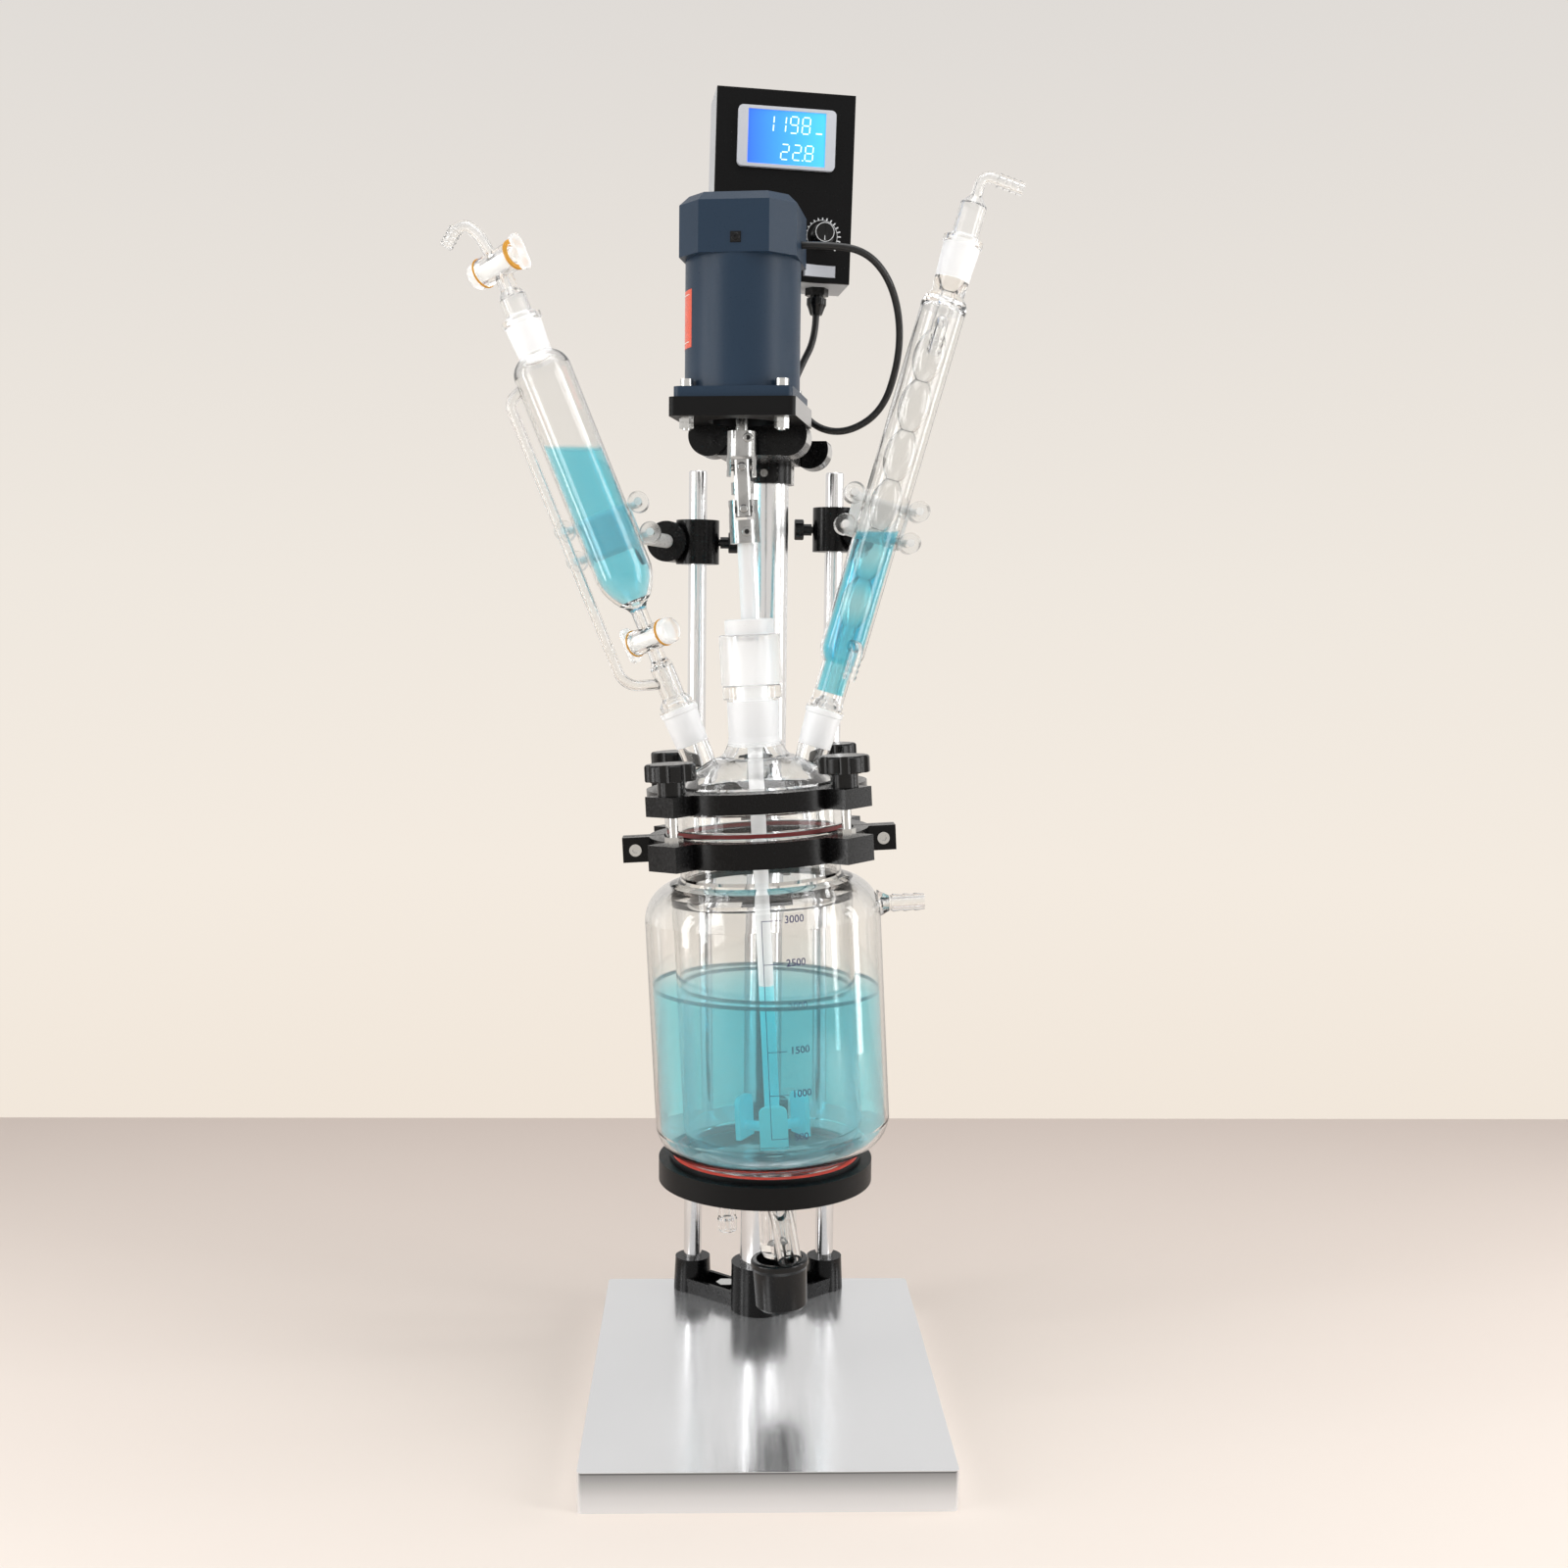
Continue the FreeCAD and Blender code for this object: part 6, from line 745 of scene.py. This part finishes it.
PANEL_FACE, DIAL_SIDE, DIAL_UP, DIAL_LENGTH = -52, 31.8, 36.4, 15
DIAL_ARC, DIAL_START, DIAL_SWEEP, TICK_STEP = 12, -135, 270, 15
dial_place = placed((DIAL_SIDE, PANEL_FACE, DIAL_UP), 90, "X", after=box_place)
dial_marks = [ring_arc(DIAL_ARC, DIAL_ARC + 0.35, DIAL_START, DIAL_SWEEP, 0.08, 73)]
dial_marks += [ring_arc(DIAL_ARC, DIAL_ARC + 0.6 + 0.011 * turn, DIAL_START + turn - 2, 4, 0.1)
               for turn in range(0, DIAL_SWEEP + 1, TICK_STEP)]
skin("dial_scale", white_print, "frame", "pale_plastic", *dial_marks, place=dial_place, sheet=True)
rim_line = ring_arc(7, 7.5, 0, 360, DIAL_LENGTH + 0.05, 65)
pointer = ring_arc(2.6, 6.2, 176, 8, DIAL_LENGTH + 0.05)
skin("dial_rim", white_print, "speed_dial_body", "pale_plastic", rim_line, pointer,
     place=dial_place, sheet=True)

# Motor cable: a black rubber-sheathed lead from the gland under the box, down behind the motor
# and round its right side in one loop to the cap. All of it shows or passes behind the motor.
CABLE_RADIUS = 0.0028
cable_route = np.array([
    (36.3, 85.9, 849.8), (35.9, 85.8, 829.8), (25, 84, 808), (16, 72, 786), (31, 59, 757),
    (58, 47, 749), (87, 38, 766), (98, 27, 802), (98, 15, 834), (88, 1, 862), (69, -10, 880),
    (41.7, -12, 884), (14.7, -7.1, 884)]) / 1000 + (0, 0, BASE_TOP / 1000)
curve = bpy.data.curves.new("motor_lead", "CURVE")
curve.dimensions = "3D"
spline = curve.splines.new("NURBS")
spline.points.add(len(cable_route) - 1)
spline.points.foreach_set("co", np.column_stack((cable_route, np.ones(len(cable_route)))).ravel())
spline.order_u = 3
spline.use_endpoint_u = True
curve.resolution_u = 16
curve.bevel_depth = CABLE_RADIUS
curve.bevel_resolution = 5
curve.materials.append(finish("black_rubber", paint(15, 15, 16), 0.38, grain=1200.0, relief=8e-6))
lead = in_scene("motor_lead", curve)
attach(lead, "frame")
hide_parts("motor_cable")


# Dropping funnel: a straight blown glass body with a side tube, a stopcock below and a ground
# socket on top, its ground cone in the left neck. The stopcock's plug is translucent and is
# held in its barrel by thin orange rings.
def cone_band(place, foot):
    """The ground band of a cone from its foot up, ending 1 mm short of its socket's mouth."""
    return place, foot, foot + CONE_DEPTH - 1, CONE_REACH


def socket_band(place, top, depth):
    """The ground band of a socket, which ends short of its clear rim."""
    return place, top - depth, top - SOCKET_RIM, SOCKET_REACH


def stopcock(up, turn):
    """A stopcock's frame: up the left neck's line, turned about it, with its Z along the plug."""
    return placed((0, 0, up), turn, "Z", after=left_mouth) @ Matrix.Rotation(np.radians(90), 4, "Y")


def rim(radius, height, thick, wide):
    """A flat rubber ring's rim: a rounded strip turned about Z, its arc bulging outward."""
    low, high = height - thick / 2, height + thick / 2
    return lathe(outline((radius - wide, low), (radius, low), (radius, high, thick),
                         (radius - wide, high), (radius - wide, low), steps=6), turns=64)


CONE_DEPTH, CONE_REACH, SOCKET_RIM, SOCKET_REACH = 29, 12.5, 5, 17
FUNNEL_SOCKET_TOP, FUNNEL_BORE, FUNNEL_LEVEL, FUNNEL_FLOOR = 318, 20.4, 212.5, 115
FUNNEL_COCK_UP, FUNNEL_COCK_TURN, FUNNEL_RING_RADIUS, FUNNEL_RING_OUT = 57.5, -40, 10.5, 16
funnel_glass = glass("funnel_glass", cone_band(left_mouth, -CONE_DEPTH),
                     socket_band(left_mouth, FUNNEL_SOCKET_TOP, CONE_DEPTH),
                     tint=(0.945, 0.945, 0.94), clear=0.98, wave=0.0)
plug_glass = glass("plug_glass", tint=(0.93, 0.93, 0.92), edge=(0.66, 0.66, 0.65), rough=0.22,
                   clear=0.6, wave=0.0)
orange_ring = finish("orange_ring", paint(206, 146, 36), 0.4, grain=500.0, relief=5e-6)
cell_dye = dye("funnel_dye", 52.0, (0.16, 0.052))
dress(funnel_glass, "dropping_funnel")
dress(plug_glass, "funnel_plug")
rings = skin("funnel_cock_rings", orange_ring, "frame", "orange_ring",
             rim(FUNNEL_RING_RADIUS, FUNNEL_RING_OUT, 1.5, 1.1),
             rim(FUNNEL_RING_RADIUS, -FUNNEL_RING_OUT, 1.0, 1.0),
             place=stopcock(FUNNEL_COCK_UP, FUNNEL_COCK_TURN))
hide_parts("stopcock_rings")
funnel_dye = level(outline(
    (0, 85.6), (3, 85.6), (10.3, 89.8, -12), (FUNNEL_BORE, 111, 42), (FUNNEL_BORE, FUNNEL_LEVEL - 6),
    (FUNNEL_BORE, FUNNEL_LEVEL + 1.5), (FUNNEL_BORE - 2, FUNNEL_LEVEL, -2.4), (0, FUNNEL_LEVEL)),
    LEAN + SIDE_NECK_ANGLE, FUNNEL_LEVEL, FUNNEL_FLOOR, turns=64)
glassware_dye = skin("funnel_dye", cell_dye, "frame", "cyan_liquid", funnel_dye, place=left_mouth)
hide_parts("glassware_liquid")

# Gas adapter: a glass elbow with its own stopcock and hose barb, its ground cone in the
# funnel's socket. Orange rings hold the plug, the outer one broad.
GAS_COCK_UP, GAS_COCK_TURN, GAS_RING_RADIUS, GAS_RING_OUT = 361, -215, 11.6, 17
gas_glass = glass("gas_glass", cone_band(left_mouth, FUNNEL_SOCKET_TOP - CONE_DEPTH),
                  tint=(0.93, 0.93, 0.925), clear=0.93, wave=0.0)
dress(gas_glass, "gas_adapter")
dress(plug_glass, "gas_plug")
skin("gas_cock_rings", orange_ring, "frame", "orange_ring",
     rim(GAS_RING_RADIUS, GAS_RING_OUT, 1.2, 1.1), rim(GAS_RING_RADIUS, -GAS_RING_OUT, 2, 3),
     place=stopcock(GAS_COCK_UP, GAS_COCK_TURN))

# Condenser: a tube of six bulbs blown inside a glass jacket with two hose ports, its ground cone
# in the right neck, and a bent hose adapter in its top socket. Dyed water stands in the lower
# part of the jacket.
CONDENSER_TOP, CONDENSER_LEVEL, CONDENSER_FLOOR, CONDENSER_BORE = 372, 141, 124, 15.6
DYE_FOOT, TUBE_WALL, NECK_BORE = 12.3, 5.8, 10.4
BULB_START, BULB_PITCH, BULB_ARC = 65, 39.3, 31.4
condenser_glass = glass("condenser_glass", cone_band(right_mouth, -CONE_DEPTH),
                        socket_band(right_mouth, CONDENSER_TOP, JOINT_LENGTH),
                        tint=(0.95, 0.95, 0.945), clear=0.985, wave=0.0)
bend_glass = glass("bend_glass", cone_band(right_mouth, CONDENSER_TOP - CONE_DEPTH),
                   tint=(0.93, 0.93, 0.925), clear=0.93, wave=0.0)
thin_dye = dye("condenser_dye", 140.0, (0.16, 0.052))
dress(condenser_glass, "condenser")
dress(bend_glass, "condenser_adapter")
condenser_dye = level(outline(
    (TUBE_WALL, DYE_FOOT), (NECK_BORE, DYE_FOOT), (NECK_BORE, 35.5), (CONDENSER_BORE, 46.5, 24),
    (CONDENSER_BORE, CONDENSER_LEVEL - 6), (CONDENSER_BORE, CONDENSER_LEVEL + 1),
    (CONDENSER_BORE - 1.6, CONDENSER_LEVEL, -2), (6.2, CONDENSER_LEVEL),
    (12.6, BULB_START + 1.5 * BULB_PITCH, -BULB_ARC), (TUBE_WALL, BULB_START + BULB_PITCH, -BULB_ARC),
    (TUBE_WALL, BULB_START, -BULB_ARC), (TUBE_WALL, DYE_FOOT)),
    LEAN - SIDE_NECK_ANGLE, CONDENSER_LEVEL, CONDENSER_FLOOR, turns=64)
skin("condenser_dye", thin_dye, "frame", "cyan_liquid", condenser_dye, place=right_mouth)

# Rod clamps: black cast bosses on the side rods, held by black thumbscrews, with pale dipped
# fingers round the funnel and the condenser. Clear silicone sleeves cover the prongs.
clear_silicone = glass("clear_silicone", tint=(0.93, 0.94, 0.94), edge=(0.62, 0.63, 0.63), rough=0.2,
                       ior=1.4)
dipped = finish("pale_dip", paint(222, 222, 220), 0.3, grain=500.0, relief=6e-6)
dress(black_enamel, "clamp_bosses")
dress(dipped, "finger_clamps")
dress(clear_silicone, "clamp_sleeves")
dress(black_plastic, "left_thumbscrew", "right_thumbscrew")
